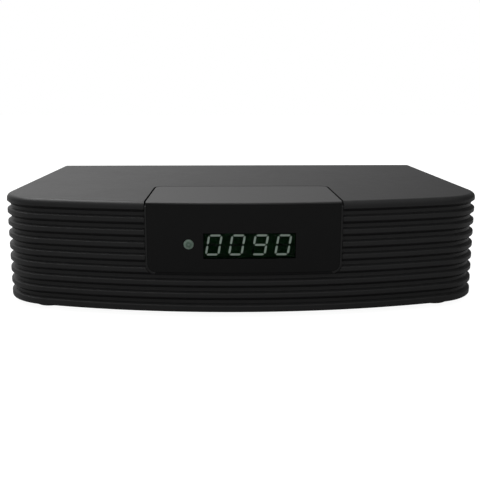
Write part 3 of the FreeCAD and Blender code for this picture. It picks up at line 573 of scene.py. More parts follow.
studio = {
    "backdrop": 1.0,
    "ambient": 0.6,
    "glossLeft": 0.74,
    "glossRight": 0.155,
    "glossFront": 0.8,           # at the right, in front of the part
    "glossAside": 0.36,          # left of it, far out to either side
    "behindReach": (-0.28, 0.4),   # where the light behind goes over from left to right
    "frontReach": (-0.28, 0.6),
    "frontTurn": (0.2, -0.25),     # where behind goes over to in front
    "asideReach": (0.4, 0.95),
    "skyReach": (-0.3, 1.0),
    "skyShare": (0.6, 1.3),        # of the ambient light, low down and overhead
    # Painted shade: the floor's glow, as reflections see it, is dimmed near the part for the shade the part
    # casts around itself
    "floorNear": 0.35,             # share of its gloss that the floor keeps beside the part
    "floorTone": 0.22,
    "floorGlow": 0.95,
    "floorGloss": 0.22,
    "floorShade": (75.0, 260.0),   # from the middle: how far out the floor under the part stays dim
    "floorSize": 4.0,
    "lampPlace": (-260.0, 140.0, 620.0),
    "lampSize": 0.55,
    "lampWatts": 4.5,
}


# What is seen directly or through glass, and what only a reflection meets
def rayKinds(tree):
    path = addNode(tree, "ShaderNodeLightPath").outputs
    return maths(tree, "MAXIMUM", path["Is Camera Ray"], path["Is Transmission Ray"]), path["Is Glossy Ray"]


def makeWorld():
    world = bpy.data.worlds.new("studio")
    world.use_nodes = True
    scene.world = world
    tree = world.node_tree
    seen, reflected = rayKinds(tree)
    direction = addNode(tree, "ShaderNodeTexCoord").outputs["Generated"]
    parts = addNode(tree, "ShaderNodeSeparateXYZ", {0: direction}).outputs
    behind = between(tree, parts["X"], *studio["behindReach"], studio["glossLeft"], studio["glossRight"])
    inFront = between(tree, parts["X"], *studio["frontReach"], studio["glossLeft"], studio["glossFront"])
    gloss = mixNumbers(tree, between(tree, parts["Y"], *studio["frontTurn"]), behind, inFront)
    aside = maths(tree, "ABSOLUTE", parts["X"])
    fade = between(tree, aside, *studio["asideReach"], 1.0, studio["glossAside"])
    gloss = maths(tree, "MULTIPLY", gloss, fade)
    low, high = (studio["ambient"] * share for share in studio["skyShare"])
    soft = between(tree, parts["Z"], *studio["skyReach"], low, high)
    strength = mixNumbers(tree, seen, mixNumbers(tree, reflected, soft, gloss), studio["backdrop"])
    feed(tree, tree.nodes["Background"], {"Color": (1, 1, 1, 1), "Strength": strength})


def makeFloor():
    half = studio["floorSize"] / 2
    mesh = bpy.data.meshes.new("floor")
    corners = [(-half, -half, 0), (half, -half, 0), (half, half, 0), (-half, half, 0)]
    mesh.from_pydata(corners, [], [range(len(corners))])
    floor = bpy.data.objects.new("floor", mesh)
    scene.collection.objects.link(floor)
    material, tree, shader = newMaterial("floor")
    tree.nodes.remove(shader)
    tone = studio["floorTone"]
    matt = addNode(tree, "ShaderNodeBsdfDiffuse", {"Color": (tone, tone, tone, 1)})
    seen, reflected = rayKinds(tree)
    # Painted shade: what reflections see of the floor is dimmed within floorShade of the middle
    away = vectorMaths(tree, "LENGTH", objectPlace(tree), output="Value")
    near, far = studio["floorShade"]
    dim = studio["floorGloss"] * studio["floorNear"]
    gloss = between(tree, away, near * mm, far * mm, dim, studio["floorGloss"])
    glow = maths(tree, "MAXIMUM", maths(tree, "MULTIPLY", seen, studio["floorGlow"]),
                 maths(tree, "MULTIPLY", reflected, gloss))
    light = addNode(tree, "ShaderNodeEmission", {"Color": (1, 1, 1, 1), "Strength": glow})
    both = addNode(tree, "ShaderNodeAddShader", {0: matt.outputs[0], 1: light.outputs[0]})
    feed(tree, tree.nodes["Material Output"], {"Surface": both.outputs[0]})
    mesh.materials.append(material)


def makeLamp():
    data = bpy.data.lights.new("softbox", "AREA")
    data.size = studio["lampSize"]
    data.energy = studio["lampWatts"]
    lamp = bpy.data.objects.new("softbox", data)
    lamp.location = Vector(studio["lampPlace"]) * mm
    lamp.rotation_mode = "QUATERNION"
    lamp.rotation_quaternion = (-lamp.location).to_track_quat("-Z", "Y")
    scene.collection.objects.link(lamp)


scene.view_settings.view_transform = "Standard"
makeWorld()
makeFloor()
makeLamp()
print("studio ready")


# Case

plasticTones = {
    "case": (0.0150, 0.0150, 0.0153),
    "bezel": (0.0125, 0.0125, 0.0128),
    "bezelFront": (0.0110, 0.0110, 0.0112),
    "bezelRailShade": (0.0055, 0.0055, 0.0056),
    "window": (0.0032, 0.0033, 0.0033),
}
casePlastic = plastic("casePlastic", plasticTones["case"], 0.42, specular=0.2, grain=0.000014, worn=0.06,
                      uneven=0.012)
bezelPlastic = plastic("bezelPlastic", plasticTones["bezel"], 0.64, specular=0.7, grain=0.000008, worn=0.05,
                       uneven=0.01)
# The bezel's front is smoother than its textured tongue, and looks darker
bezelFront = plastic("bezelFront", plasticTones["bezelFront"], 0.4, specular=0.22, grain=0.000004,
                     worn=0.05, uneven=0.01)
# Painted shade: the rail under the window's bottom edge gets a near-black, dull colour that stands in for
# the line of shade below the window
bezelRailShade = plastic("bezelRailShade", plasticTones["bezelRailShade"], 0.6, specular=0.1, worn=0.0, dust=0.0)


# Distances in and heights up the ribbed wall, with every corner rounded
def ribProfile():
    z = splitZ
    points, radii = [(ribs["depth"], z)], [0.0]
    crest = [("crest", 0.0, "crestRound"), ("upperSlope", ribs["depth"], "floorRound")]
    groove = [("floor", ribs["depth"], "floorRound"), ("lowerSlope", 0.0, "crestRound")]
    for rise, inset, corner in (groove + crest) * (ribs["grooves"] - 1) + groove:
        z += ribs[rise]
        points.append((inset, z))
        radii.append(ribs[corner])
    return rounded(points, radii, ribs["steps"])


def quarterRound(radius, steps, z, rising):
    ring = []
    for k in range(steps + 1):
        angle = math.pi / 2 * k / steps
        far, near = radius * (1 - math.cos(angle)), radius * (1 - math.sin(angle))
        ring.append((far, z - near) if rising else (near, z + far))
    return ring


def caseSkin(profile, fromRear):
    return skin([[(x, y, z) for x, y in planOutline(inset, fromRear(inset, z))] for inset, z in profile])


bezel = {
    "recessReach": 5.0,      # how far the cutter of the tongue's recess stands out
    "width": 64.9,
    "thickness": 3.0,
    "corner": 3.2,
    "bottom": nodeBox("front_bezel")[0].z,
    "tongueHalf": 31.95,
    "tongueBack": nodeBox("front_bezel")[1].y,
    "tongueCorner": 3.0,
    "tongueThickness": 2.0,
    "tongueRound": 0.75,
    "tongueGap": 0.65,
    "fit": 0.15,
    "edge": 0.12,
    "recessEdge": 0.14,
    "overlap": 0.4,          # of the tongue and the front, where they join
    "seatFit": 0.05,
    "eyeHole": 3.0,
    "sliceStep": 1.6,
}
shelf = {"thickness": 1.5, "margin": 3.0, "overlap": 0.3, "sliceStep": 4.0}
panel = {"recess": 1.2, "thickness": 1.0, "slotDepth": 0.9, "slotFit": 0.1}


def panelSlot(low, high):
    half = case["halfWidth"] - case["wall"] + panel["slotDepth"]
    outer = case["rear"] - panel["recess"] + panel["slotFit"]
    inner = case["rear"] - panel["recess"] - panel["thickness"] - panel["slotFit"]
    return prism(rectangle(-half, half, inner, outer), low, high)


def hollow(low, high):
    inside = planOutline(case["wall"])
    lastY = case["rear"] + reach
    inside = [(x, lastY if y > case["rear"] - case["rearCorner"] - 1 else y) for x, y in inside]
    inside = [p for i, p in enumerate(inside) if p[1] < lastY or i in (0, len(inside) - 1)]
    half = case["halfWidth"] - case["wall"]
    inside[0], inside[-1] = (half, lastY), (-half, lastY)
    return prism(inside, low, high)


def makeUpperCase():
    top = case["top"]
    profile = ribProfile() + quarterRound(case["topRound"], case["topSteps"], top, rising=True)
    shell = caseSkin(profile, lambda inset, z: inset if z > top - case["topRound"] - tiny else 0.0)
    ceiling = top - case["topThickness"]
    shell = carve(shell, [hollow(splitZ - reach, ceiling)])
    half = bezel["width"] / 2 + shelf["margin"]
    behind = bezel["thickness"] + bezel["fit"]
    length = bezel["tongueBack"] - case["front"]
    plate = prism(rectangle(-half, half, behind, length + shelf["margin"]), ceiling - shelf["thickness"],
                  ceiling + shelf["overlap"])
    shell = carve(shell, [bowed(sliced(plate, half, shelf["sliceStep"]), behind, length)], "UNION")
    half = bezel["width"] / 2 + bezel["fit"]
    corner = bezel["corner"] + bezel["fit"]
    opening = rectangle(-half, half, bezel["bottom"] - bezel["fit"], top + reach, (corner, corner, 0, 0))
    opening = prism(opening, -reach, behind, "y")
    opening = bowed(sliced(opening, half, bezel["sliceStep"]))
    half = bezel["tongueHalf"] + bezel["tongueGap"]
    corner = bezel["tongueCorner"] + bezel["tongueGap"]
    recess = rectangle(-half, half, case["front"] - bezel["recessReach"],
                       bezel["tongueBack"] + bezel["tongueGap"], (0, 0, corner, corner))
    recess = prism(recess, ceiling, top + bezel["recessReach"])
    shell = carve(shell, [opening, panelSlot(splitZ - reach, ceiling + panel["slotDepth"])])
    shell = carve(shell, [recess])
    soften(shell, bezel["recessEdge"], where=lambda e: all(
        v.co.z > top - tiny and abs(v.co.x) < half + 10 * tiny and v.co.y < bezel["tongueBack"] + 1
        for v in e.verts))
    return finished(shell, "upperCase", casePlastic, replaced=["upper_case"])


makeUpperCase()
print("upper case made")


base = {
    "ventWidth": 2.0,
    "ventLength": 26.0,
    "ventPitch": 5.0,
    "ventCount": 17,
    "ventFromFront": 52.0,
    "footWell": 0.6,
    "footFit": 0.15,
    "screwWellRadius": 2.75,
    "screwWellDepth": 1.2,
    "screwHoleRadius": 1.55,
    "screwHead": 2.6,        # its radius, by which the screws' box reaches past their middles
    "edge": 0.18,
}
feet = ["foot_front_left", "foot_front_right", "foot_rear_left", "foot_rear_right"]


# Almost half round, so that no two of its points fall together
def slotOutline(x, low, high, radius):
    return rectangle(x - radius, x + radius, low, high, radius * 0.999)


def screwPlaces(name):
    low, high = nodeBox(name)
    head = base["screwHead"]
    return [(x, y) for x in (low.x + head, high.x - head) for y in (low.y + head, high.y - head)]


def makeLowerCase():
    bottom = case["bottom"]
    walls = rounded([(0.0, bottom + case["rimRound"]), (0.0, bottom + ribs["rim"]),
                     (ribs["depth"], splitZ), (ribs["depth"] + ribs["seam"], splitZ)],
                    [0.0, ribs["crestRound"], ribs["seam"], 0.0], ribs["steps"])
    profile = quarterRound(case["rimRound"], case["rimSteps"], bottom, rising=False) + walls[1:]
    floorTop = bottom + case["baseThickness"]
    tray = caseSkin(profile, lambda inset, z: inset if z < bottom + case["rimRound"] + tiny else 0.0)
    tray = carve(tray, [hollow(floorTop, splitZ + reach)])
    radius = base["ventWidth"] / 2
    start = case["front"] + base["ventFromFront"]
    vents = [slotOutline(x, start - radius, start + base["ventLength"] + radius, radius)
             for x in spread(base["ventCount"], base["ventPitch"])]
    holes = [circle(base["screwHoleRadius"], x, y, 24) for x, y in screwPlaces("case_screws")]
    wells = [circle(base["screwWellRadius"], x, y, 32) for x, y in screwPlaces("case_screws")]
    cuts = [prism(outline, bottom - 1, floorTop + 1) for outline in vents + holes]
    cuts += [prism(outline, bottom - 1, bottom + base["screwWellDepth"]) for outline in wells]
    for name in feet:
        low, high = nodeBox(name)
        outline = circle((high.x - low.x) / 2 + base["footFit"], middleOf(name).x, middleOf(name).y)
        cuts.append(prism(outline, bottom - 1, bottom + base["footWell"]))
    tray = carve(tray, cuts)
    tray = carve(tray, [panelSlot(floorTop - panel["slotDepth"], splitZ + reach)])
    soften(tray, base["edge"], where=lambda e: all(abs(v.co.z - bottom) < tiny for v in e.verts))
    return finished(tray, "lowerCase", casePlastic, replaced=["lower_case"])


makeLowerCase()
print("lower case made")


# Front bezel: the frame of the window and the tongue in the top, one moulding

window = {
    "cutReach": 2.0,         # how far its cutters stand out on either side
    "half": paneHigh.x,
    "bottom": paneLow.z,
    "top": paneHigh.z,
    "corner": 2.5,
    "topCorner": 0.35,
    "thickness": 1.6,
    "edge": 0.1,
    "filterSetback": 0.05,
    "filterEdge": 0.06,
}
lampLow, lampHigh = nodeBox("led_light_pipe")
moduleLow, moduleHigh = nodeBox("display_module")
filterLow, filterHigh = nodeBox("display_filter")
lamp = {
    "x": middleOf("led_light_pipe").x,
    "z": middleOf("led_light_pipe").z,
    "flange": (lampHigh.x - lampLow.x) / 2,
    "radius": 1.65,
    "hole": 1.7,
    "dome": 0.3,
    "front": lampLow.y,
    "back": lampHigh.y,
    "flangeThickness": 0.8,
    # The pale dot is the die; the pale rim is a painted highlight of the dome's edge
    "dotFade": (0.0002, 0.0005),     # the die shows as a pale dot, inside a darker ring and a pale rim
    "rimFade": (0.0007, 0.0012),
    "dark": 0.2,
    "domeSteps": 6,
    "domePower": 2.6,
}


# The outline of the window, drawn out by fit
def windowOutline(fit=0.0):
    corners = [window["corner"]] * 2 + [window["topCorner"]] * 2
    half = window["half"] + fit
    return rectangle(-half, half, window["bottom"] - fit, window["top"] + fit, corners)


def makeBezel():
    thickness = bezel["thickness"]
    length = bezel["tongueBack"] - case["front"]
    half, corner = bezel["width"] / 2, bezel["corner"]
    underTongue = case["top"] - bezel["tongueThickness"]
    plate = rectangle(-half, half, bezel["bottom"], underTongue + bezel["overlap"], (corner, corner, 0, 0))
    plate = prism(plate, 0.0, thickness, "y")
    half, corner = bezel["tongueHalf"], bezel["tongueCorner"]
    tongue = prism(rectangle(-half, half, 0.0, length, (0, 0, corner, corner)), underTongue, case["top"])
    soften(tongue, bezel["tongueRound"], 5,
           where=lambda e: all(v.co.y < tiny and v.co.z > case["top"] - tiny for v in e.verts))
    whole = carve(plate, [tongue], "UNION")
    whole = carve(whole, [prism(windowOutline(bezel["seatFit"]), -reach, window["thickness"], "y")])
    fit = bezel["fit"]
    display = rectangle(moduleLow.x - fit, moduleHigh.x + fit, moduleLow.z - fit, moduleHigh.z + fit)
    holes = [display, circle(lamp["flange"] + fit, lamp["x"], lamp["z"]),
             circle(bezel["eyeHole"], middleOf("ir_receiver").x, lamp["z"])]
    whole = carve(whole, [prism(outline, -reach, thickness + reach, "y") for outline in holes])
    bmesh.ops.dissolve_limit(whole, angle_limit=0.002, verts=whole.verts, edges=whole.edges)
    soften(whole, bezel["edge"], 3, least=40.0)
    whole = bowed(sliced(whole, bezel["width"] / 2, bezel["sliceStep"]), thickness + 0.5, length)
    made = finished(whole, "frontBezel", bezelPlastic, replaced=["front_bezel"])
    made.data.materials.append(bezelFront)
    made.data.materials.append(bezelRailShade)
    # Faces low on the rail take the painted shade, faces that face up take the tongue's plastic, and the
    # rest the front's
    railEnd = bezel["width"] / 2 - bezel["corner"]
    for polygon in made.data.polygons:
        low = polygon.center.z < window["bottom"] * mm and abs(polygon.center.x) < railEnd * mm
        polygon.material_index = 2 if low else 0 if polygon.normal.z > 0.5 else 1
    return made


makeBezel()
print("front bezel made")


# Smoked window: polished acrylic, printed dark behind

def windowMaterial():
    material, tree, shader = newMaterial("windowPlastic")
    smears = useGroup(tree, smearGroup, {"Scale": 38.0, "Amount": 0.5})["Mask"]
    film = useGroup(tree, dustGroup, {"Scale": 420.0, "Amount": 0.2})["Mask"]
    base = blendColours(tree, maths(tree, "MULTIPLY", film, 0.05), plasticTones["window"], (0.2, 0.2, 0.19))
    feed(tree, shader, {"Base Color": base, "Roughness": between(tree, smears, 0.0, 0.5, 0.12, 0.2),
                        "Specular IOR Level": 0.16})
    return material


windowPlastic = windowMaterial()


def makeWindow():
    fit = bezel["seatFit"]
    aperture = rectangle(filterLow.x - fit, filterHigh.x + fit, filterLow.z - fit, filterHigh.z + fit)
    cuts = [prism(outline, -window["cutReach"], window["thickness"] + window["cutReach"], "y")
            for outline in (aperture, circle(lamp["hole"], lamp["x"], lamp["z"]))]
    pane = carve(prism(windowOutline(), 0.0, window["thickness"], "y"), cuts)
    soften(pane, window["edge"], least=40.0)
    pane = bowed(sliced(pane, window["half"], bezel["sliceStep"]))
    return finished(pane, "displayWindow", windowPlastic, replaced=["display_window"])


makeWindow()


def filterMaterial():
    material, tree, shader = newMaterial("filterPlastic")
    smears = useGroup(tree, smearGroup, {"Scale": 60.0, "Amount": 0.3})["Mask"]
    tint = blendColours(tree, smears, (0.46, 0.50, 0.47), (0.44, 0.485, 0.45))
    feed(tree, shader, {"Base Color": tint, "Roughness": between(tree, smears, 0.0, 0.5, 0.02, 0.06),
                        "Transmission Weight": 1.0, "IOR": 1.07})
    return material


filterPlastic = filterMaterial()


def makeFilter():
    pane = prism(rectangle(filterLow.x, filterHigh.x, filterLow.z, filterHigh.z), window["filterSetback"],
                 window["thickness"], "y")
    soften(pane, window["filterEdge"], 1, least=40.0)
    pane = bowed(sliced(pane, filterHigh.x, bezel["sliceStep"]))
    made = finished(pane, "displayFilter", filterPlastic, replaced=["display_filter"])
    made.data.materials.append(windowPlastic)    # its rim is blackened where it is bonded to the window
    for polygon in made.data.polygons:
        polygon.material_index = 0 if abs(polygon.normal.y) > 0.8 else 1
    return made


makeFilter()
print("window and filter made")


# Four digits of seven segments, some lit

litLow, litHigh = nodeBox("lit_segments")
digits = {
    "shown": "0090",
    "pitch": 7.62,
    "middle": 1.52,
    "height": litHigh.z - litLow.z,
    "width": 4.75,
    "segment": 0.66,
    "gap": 0.24,
    "slant": 10.0,
    "face": litHigh.y,
    "proud": litHigh.y - litLow.y,
    "z": middleOf("lit_segments").z,
    "edge": 0.05,
    "point": 0.4,
}
# Where each segment sits, as shares of the digit's half width and half height, and whether it lies flat
segmentPlaces = {"a": (0, 1, True), "b": (1, 0.5, False), "c": (1, -0.5, False), "d": (0, -1, True),
                 "e": (-1, -0.5, False), "f": (-1, 0.5, False), "g": (0, 0, True)}
segmentsOf = {"0": "abcdef", "9": "abcdfg"}


def segmentSolid(digitX, name):
    shareX, shareZ, flat = segmentPlaces[name]
    reachX = (digits["width"] - digits["segment"]) / 2
    reachZ = (digits["height"] - digits["segment"]) / 2
    half = (reachX if flat else reachZ / 2) - digits["gap"]
    thick = digits["segment"] / 2
    shape = [(-half, 0), (-half + thick, thick), (half - thick, thick), (half, 0),
             (half - thick, -thick), (-half + thick, -thick)]
    slant = math.tan(math.radians(digits["slant"]))
    outline = []
    for along, across in shape:
        x, z = (along, across) if flat else (across, along)
        x, z = x + shareX * reachX, z + shareZ * reachZ
        outline.append((digitX + x + z * slant, digits["z"] + z))
    solid = prism(outline, digits["face"] - digits["proud"], digits["face"], "y")
    return soften(solid, digits["edge"], least=35.0,
                  where=lambda e: all(v.co.y < digits["face"] - 10 * tiny for v in e.verts))


# A lit segment is brightest along its middle and fades at its cut edges
def litMaterial(name, colour):
    material, tree, shader = newMaterial(name)
    edges = useGroup(tree, edgeGroup, {"Radius": 0.00018, "Break Up": 2500.0})["Mask"]
    feed(tree, shader, {"Emission Color": blendColours(tree, edges, colour, shaded(colour, 0.72)),
                        "Emission Strength": 0.62, "Base Color": (0.3, 0.33, 0.3, 1.0), "Roughness": 0.55,
                        "Specular IOR Level": 0.2})
    return material


litAcross = litMaterial("litAcross", (0.33, 0.355, 0.34))
litUpright = litMaterial("litUpright", (0.375, 0.41, 0.395))
unlitResin = plastic("unlitResin", (0.0035, 0.0060, 0.0040), 0.5, specular=0.03, worn=0.0, dust=0.0)
modulePlastic = plastic("modulePlastic", (0.0018, 0.0120, 0.0032), 0.45, specular=0.01, worn=0.0, dust=0.0)
# Its dark resin is given a faint painted glow, for the little of the digits' light that it scatters
feed(modulePlastic.node_tree, modulePlastic.node_tree.nodes["Principled BSDF"],
     {"Emission Color": (0.0007, 0.0026, 0.0009, 1.0), "Emission Strength": 1.0})


def makeDigits():
    solids = {"across": [], "upright": [], "dark": []}
    back, face = digits["face"] - digits["proud"], digits["face"]
    for x, shown in zip(spread(len(digits["shown"]), digits["pitch"], digits["middle"]), digits["shown"]):
        for name, (_, _, flat) in segmentPlaces.items():
            lit = "across" if flat else "upright"
            solids[lit if name in segmentsOf[shown] else "dark"].append(segmentSolid(x, name))
        point = circle(digits["point"], x + digits["pitch"] / 2 - digits["segment"],
                       digits["z"] - digits["height"] / 2 + digits["point"], 24)
        solids["dark"].append(prism(point, back, face, "y"))
    for kind, label, material, slotName, name in (
            ("across", "litSegmentsAcross", litAcross, "lit_segment", "lit_segments"),
            ("upright", "litSegmentsUpright", litUpright, "lit_segment", "lit_segments"),
            ("dark", "unlitSegments", unlitResin, "unlit_segment", "unlit_segments")):
        finished(joined(solids[kind]), label, material, replaced=[name])


makeDigits()
dressed(["display_module"], modulePlastic, 0.25, 3)
print("digits made")


# Lamp: a milky green light pipe whose domed end shows as a round dot

def lampMaterial():
    material, tree, shader = newMaterial("lampResin")
    centre = vectorMaths(tree, "SUBTRACT", objectPlace(tree), (lamp["x"] * mm, 0.0, lamp["z"] * mm))
    across = vectorMaths(tree, "MULTIPLY", centre, (1.0, 0.0, 1.0))
    away = vectorMaths(tree, "LENGTH", across, output="Value")
    cloud = noise(tree, centre, 620.0, 4.0, 0.5, 2.6)
    # Painted highlight: the dome's outer rim is made paler in the colour, around the die's pale dot
    ring = maths(tree, "MAXIMUM", between(tree, away, *lamp["dotFade"], 1.0, lamp["dark"]),
                 between(tree, away, *lamp["rimFade"], lamp["dark"], 1.0))
    milkAndRimHighlight = maths(tree, "MULTIPLY", between(tree, cloud, 0.36, 0.58, 0.55, 1.0), ring)
    feed(tree, shader, {"Base Color": blendColours(tree, milkAndRimHighlight, (0.070, 0.120, 0.088), (0.215, 0.290, 0.240)),
                        "Roughness": between(tree, cloud, 0.3, 0.7, 0.3, 0.42), "Specular IOR Level": 0.25,
                        "Subsurface Weight": 0.25, "Subsurface Radius": (0.4, 0.8, 0.5),
                        "Subsurface Scale": 0.0008})
    return material


lampResin = lampMaterial()


def makeLampPipe():
    flangeFront = lamp["back"] - lamp["flangeThickness"]
    shares = [k / lamp["domeSteps"] for k in range(lamp["domeSteps"] + 1)]
    profile = [(lamp["radius"] * share, lamp["front"] + lamp["dome"] * share ** lamp["domePower"])
               for share in shares]
    profile += [(lamp["radius"], flangeFront), (lamp["flange"], flangeFront), (lamp["flange"], lamp["back"]),
                (0.0, lamp["back"])]
    pipe = lathe(profile, (lamp["x"], lamp["z"]), "y", 56)
    return finished(pipe, "lampPipe", lampResin, replaced=["led_light_pipe"],
                    sharp=40.0)


makeLampPipe()
print("lamp made")


# Feet: rubber pads with a moulded dish, pressed into wells in the base

footRubber = plastic("footRubber", (0.0085, 0.0085, 0.0089), 0.72, specular=0.2, grain=0.00003,
                     grainScale=1800.0, worn=0.6, dust=0.5)


foot = {
    "taper": 1.0,
    "dishDepth": 0.35,
    "rim": 1.4,              # width of the ring that stands on the table
    "dishSlope": 0.4,
    "rounds": (0, 0.3, 0.15, 0.45, 0.15, 0.1, 0),
}


def makeFoot(name, label):
    low, high = nodeBox(name)
    radius, dish = (high.x - low.x) / 2, low.z + foot["dishDepth"]
    tread = radius - foot["taper"]
    inner = tread - foot["rim"]
    profile = rounded([(0.0, dish), (inner, dish), (inner + foot["dishSlope"], low.z), (tread, low.z),
                       (radius, case["bottom"]), (radius, high.z), (0.0, high.z)], foot["rounds"])
    pad = lathe(profile, (middleOf(name).x, middleOf(name).y), "z", 64)
    return finished(pad, label, footRubber, replaced=[name], sharp=40.0)


for footName in feet:
    makeFoot(footName, "".join(word.title() for word in footName.split("_")))
print("feet made")


# Sockets for the dish: a threaded barrel round a white insulator with its contact, a nut and a washer

panelPaint = plastic("panelPaint", (0.016, 0.016, 0.0165), 0.5, specular=0.35, grain=0.00003,
                     grainScale=1300.0, worn=0.5, uneven=0.03)
platedZinc = metal("platedZinc", (0.66, 0.65, 0.62), 0.24)
goldContact = metal("goldContact", (0.83, 0.6, 0.22), 0.22)
insulatorPlastic = plastic("insulatorPlastic", (0.72, 0.7, 0.64), 0.45)
socketPlastic = plastic("socketPlastic", (0.012, 0.012, 0.0125), 0.4, 0.4)

thread = {
    "pitch": 25.4 / 32,
    "depth": 0.4,
    "fade": 0.5,             # over which it runs out at either end
    "land": 0.14,            # flat share of its root
    "flank": 0.72,
    "steps": 7,              # rings to a turn
    "turnSteps": 72,
}
aerial = {
    "neckRadius": 4.6,
    "radius": 4.76,
    "bore": 3.3,
    "chamfer": 0.4,
    "hole": 0.6,
    "funnel": 1.0,
    "funnelDepth": 0.7,
    "contactWall": 0.14,
    "contactSetback": 0.35,
    "holeFloor": 1.0,        # this and the next, from the insulator's inner end
    "contactBack": 1.4,
    "lip": 0.1,
    "lipRound": 0.05,
    "boreRound": 0.15,
    "nutFlats": 11.0,
    "nutChamfer": 0.45,
    "nutEdge": 0.07,
    "nutFit": 0.05,
    "nutFace": 0.15,         # how far inside the flats its end face stops
    "nutSpare": 0.02,
}
nutLow, nutHigh = nodeBox("lnb_nuts")
insulatorLow, insulatorHigh = nodeBox("lnb_insulators")
aerialSockets = {"lnb_input_socket": "aerialInput", "lnb_output_socket": "aerialOutput"}


def threadRadius(angle, y, start, end):
    phase = (y / thread["pitch"] - angle / (2 * math.pi)) % 1.0
    height = min(1.0, max(0.0, (abs(2 * phase - 1) - thread["land"]) / thread["flank"]))
    fade = min(1.0, max(0.0, min(y - start, end - y) / thread["fade"]))
    return aerial["radius"] - thread["depth"] * (1 - height * fade)


def makeAerialSocket(name, label):
    low, high = nodeBox(name)
    x, z, tip = middleOf(name).x, middleOf(name).z, high.y
    start, end = nutHigh.y, tip - aerial["chamfer"] * 0.5
    count = math.ceil((end - start) / thread["pitch"] * thread["steps"])
    angles = [2 * math.pi * k / thread["turnSteps"] for k in range(thread["turnSteps"])]

    def ring(y, radiusAt):
        return [(x + radiusAt(a) * math.cos(a), y, z + radiusAt(a) * math.sin(a)) for a in angles]

    rings = [ring(y, lambda a: aerial["neckRadius"]) for y in (low.y, start)]
    for k in range(count + 1):
        y = start + (end - start) * k / count
        rings.append(ring(y, lambda a: threadRadius(a, y, start, end)))
    root, bore, edge = aerial["radius"] - thread["depth"], aerial["bore"], aerial["boreRound"]
    for radius, y in ((root - aerial["lip"], tip - aerial["lipRound"]), (root - 2 * aerial["lip"], tip),
                      (bore + edge, tip), (bore, tip - edge), (bore, insulatorLow.y)):
        rings.append(ring(y, lambda a: radius))
    return finished(skin(rings), label, platedZinc, replaced=[name], sharp=50.0, even=False)


def makeAerialInsides():
    bore, hole = aerial["bore"], aerial["hole"]
    face, back = insulatorHigh.y, insulatorLow.y
    floor, mouth = back + aerial["holeFloor"], face - aerial["funnelDepth"]
    inner, front = hole - aerial["contactWall"], mouth - aerial["contactSetback"]
    plug = rounded([(bore, back), (bore, face), (hole + aerial["funnel"], face), (hole, mouth),
                    (hole, floor), (0.0, floor)], [0, 0.15, 0.2, 0.1, 0, 0], 3) + [(0.0, back)]
    start = back + aerial["contactBack"]
    contact = [(hole, start), (hole, front), (inner, front), (inner, start)]
    places = [(middleOf(name).x, middleOf("lnb_nuts").z) for name in aerialSockets]
    finished(joined([lathe(plug, place, "y") for place in places]), "aerialInsulators", insulatorPlastic,
             replaced=["lnb_insulators"])
    finished(joined([lathe(contact, place, "y", 24, closed=True) for place in places]), "aerialContacts",
             goldContact)


def makeAerialNuts():
    z = middleOf("lnb_nuts").z
    corner = aerial["nutFlats"] / 2 / math.cos(math.pi / 6)
    flat, edge = aerial["nutFlats"] / 2 - aerial["nutFace"], aerial["nutChamfer"]
    outside = corner + aerial["nutSpare"]
    nuts = []
    for name in aerialSockets:
        x = middleOf(name).x
        nut = prism(circle(corner, x, z, 6), nutLow.y, nutHigh.y, "y")
        crown = lathe([(0, nutLow.y), (flat, nutLow.y), (outside, nutLow.y + edge),
                       (outside, nutHigh.y - edge), (flat, nutHigh.y), (0, nutHigh.y)], (x, z), "y", 72)
        hole = circle(aerial["neckRadius"] + aerial["nutFit"], x, z, 64)
        nut = carve(carve(nut, [crown], "INTERSECT"), [prism(hole, nutLow.y - 1, nutHigh.y + 1, "y")])
        nuts.append(soften(nut, aerial["nutEdge"], 1, least=20.0))
    return finished(joined(nuts), "aerialNuts", platedZinc, replaced=["lnb_nuts"], sharp=25.0)


for socketName, pieceName in aerialSockets.items():
    makeAerialSocket(socketName, pieceName)
makeAerialInsides()
makeAerialNuts()
print("aerial sockets made")


# Network jack: a dark liner in the plated shell, and two small light windows over the mouth

network = {
    "mouthWidth": 11.8,
    "mouthHeight": 7.2,
    "mouthFloor": 3.6,
    "mouthDepth": 13.0,
    "liner": 0.22,
    "setback": 0.25,
    "lightWidth": 2.6,
    "lightHeight": 1.3,
    "lightInset": 2.0,
    "lightDrop": 1.25,
    "lightProud": 0.12,
    "lightDepth": 0.3,
    "lights": ((-1, "networkLightGreen", (0.10, 0.32, 0.09)), (1, "networkLightAmber", (0.5, 0.26, 0.03))),
}
networkLow, networkHigh = nodeBox("network_socket")


def makeNetworkInsides():
    x = middleOf("network_socket").x
    low = networkLow.z + network["mouthFloor"]
    high = low + network["mouthHeight"]
    half, wall = network["mouthWidth"] / 2, network["liner"]
    start, end = networkHigh.y - network["mouthDepth"], networkHigh.y - network["setback"]
    outer = prism(rectangle(x - half, x + half, low, high), start, end, "y")
    inner = rectangle(x - half + wall, x + half - wall, low + wall * 0.2, high - wall)
    inner = prism(inner, start + wall, end + 1, "y")
    finished(carve(outer, [inner]), "networkLiner", socketPlastic)
    z = networkHigh.z - network["lightDrop"]
    across, tall = network["lightWidth"] / 2, network["lightHeight"] / 2
    for side, label, colour in network["lights"]:
        middle = x + side * ((networkHigh.x - networkLow.x) / 2 - network["lightInset"])
        pane = prism(rectangle(middle - across, middle + across, z - tall, z + tall, 0.2, 3),
                     networkHigh.y - network["lightDepth"], networkHigh.y + network["lightProud"], "y")
        resin = plastic(label, colour, 0.25, worn=0.0, grain=0.000002)
        finished(soften(pane, 0.05), label, resin)


makeNetworkInsides()


# Contact strips on the tongues of the video and data sockets

strips = {
    "video": {"count": 19, "pitch": 0.5, "width": 0.24, "thickness": 0.03, "inset": 0.4},
    "data": {"count": 4, "pitch": 2.3, "width": 1.1, "thickness": 0.04, "inset": 0.6, "stack": 7.6},
}


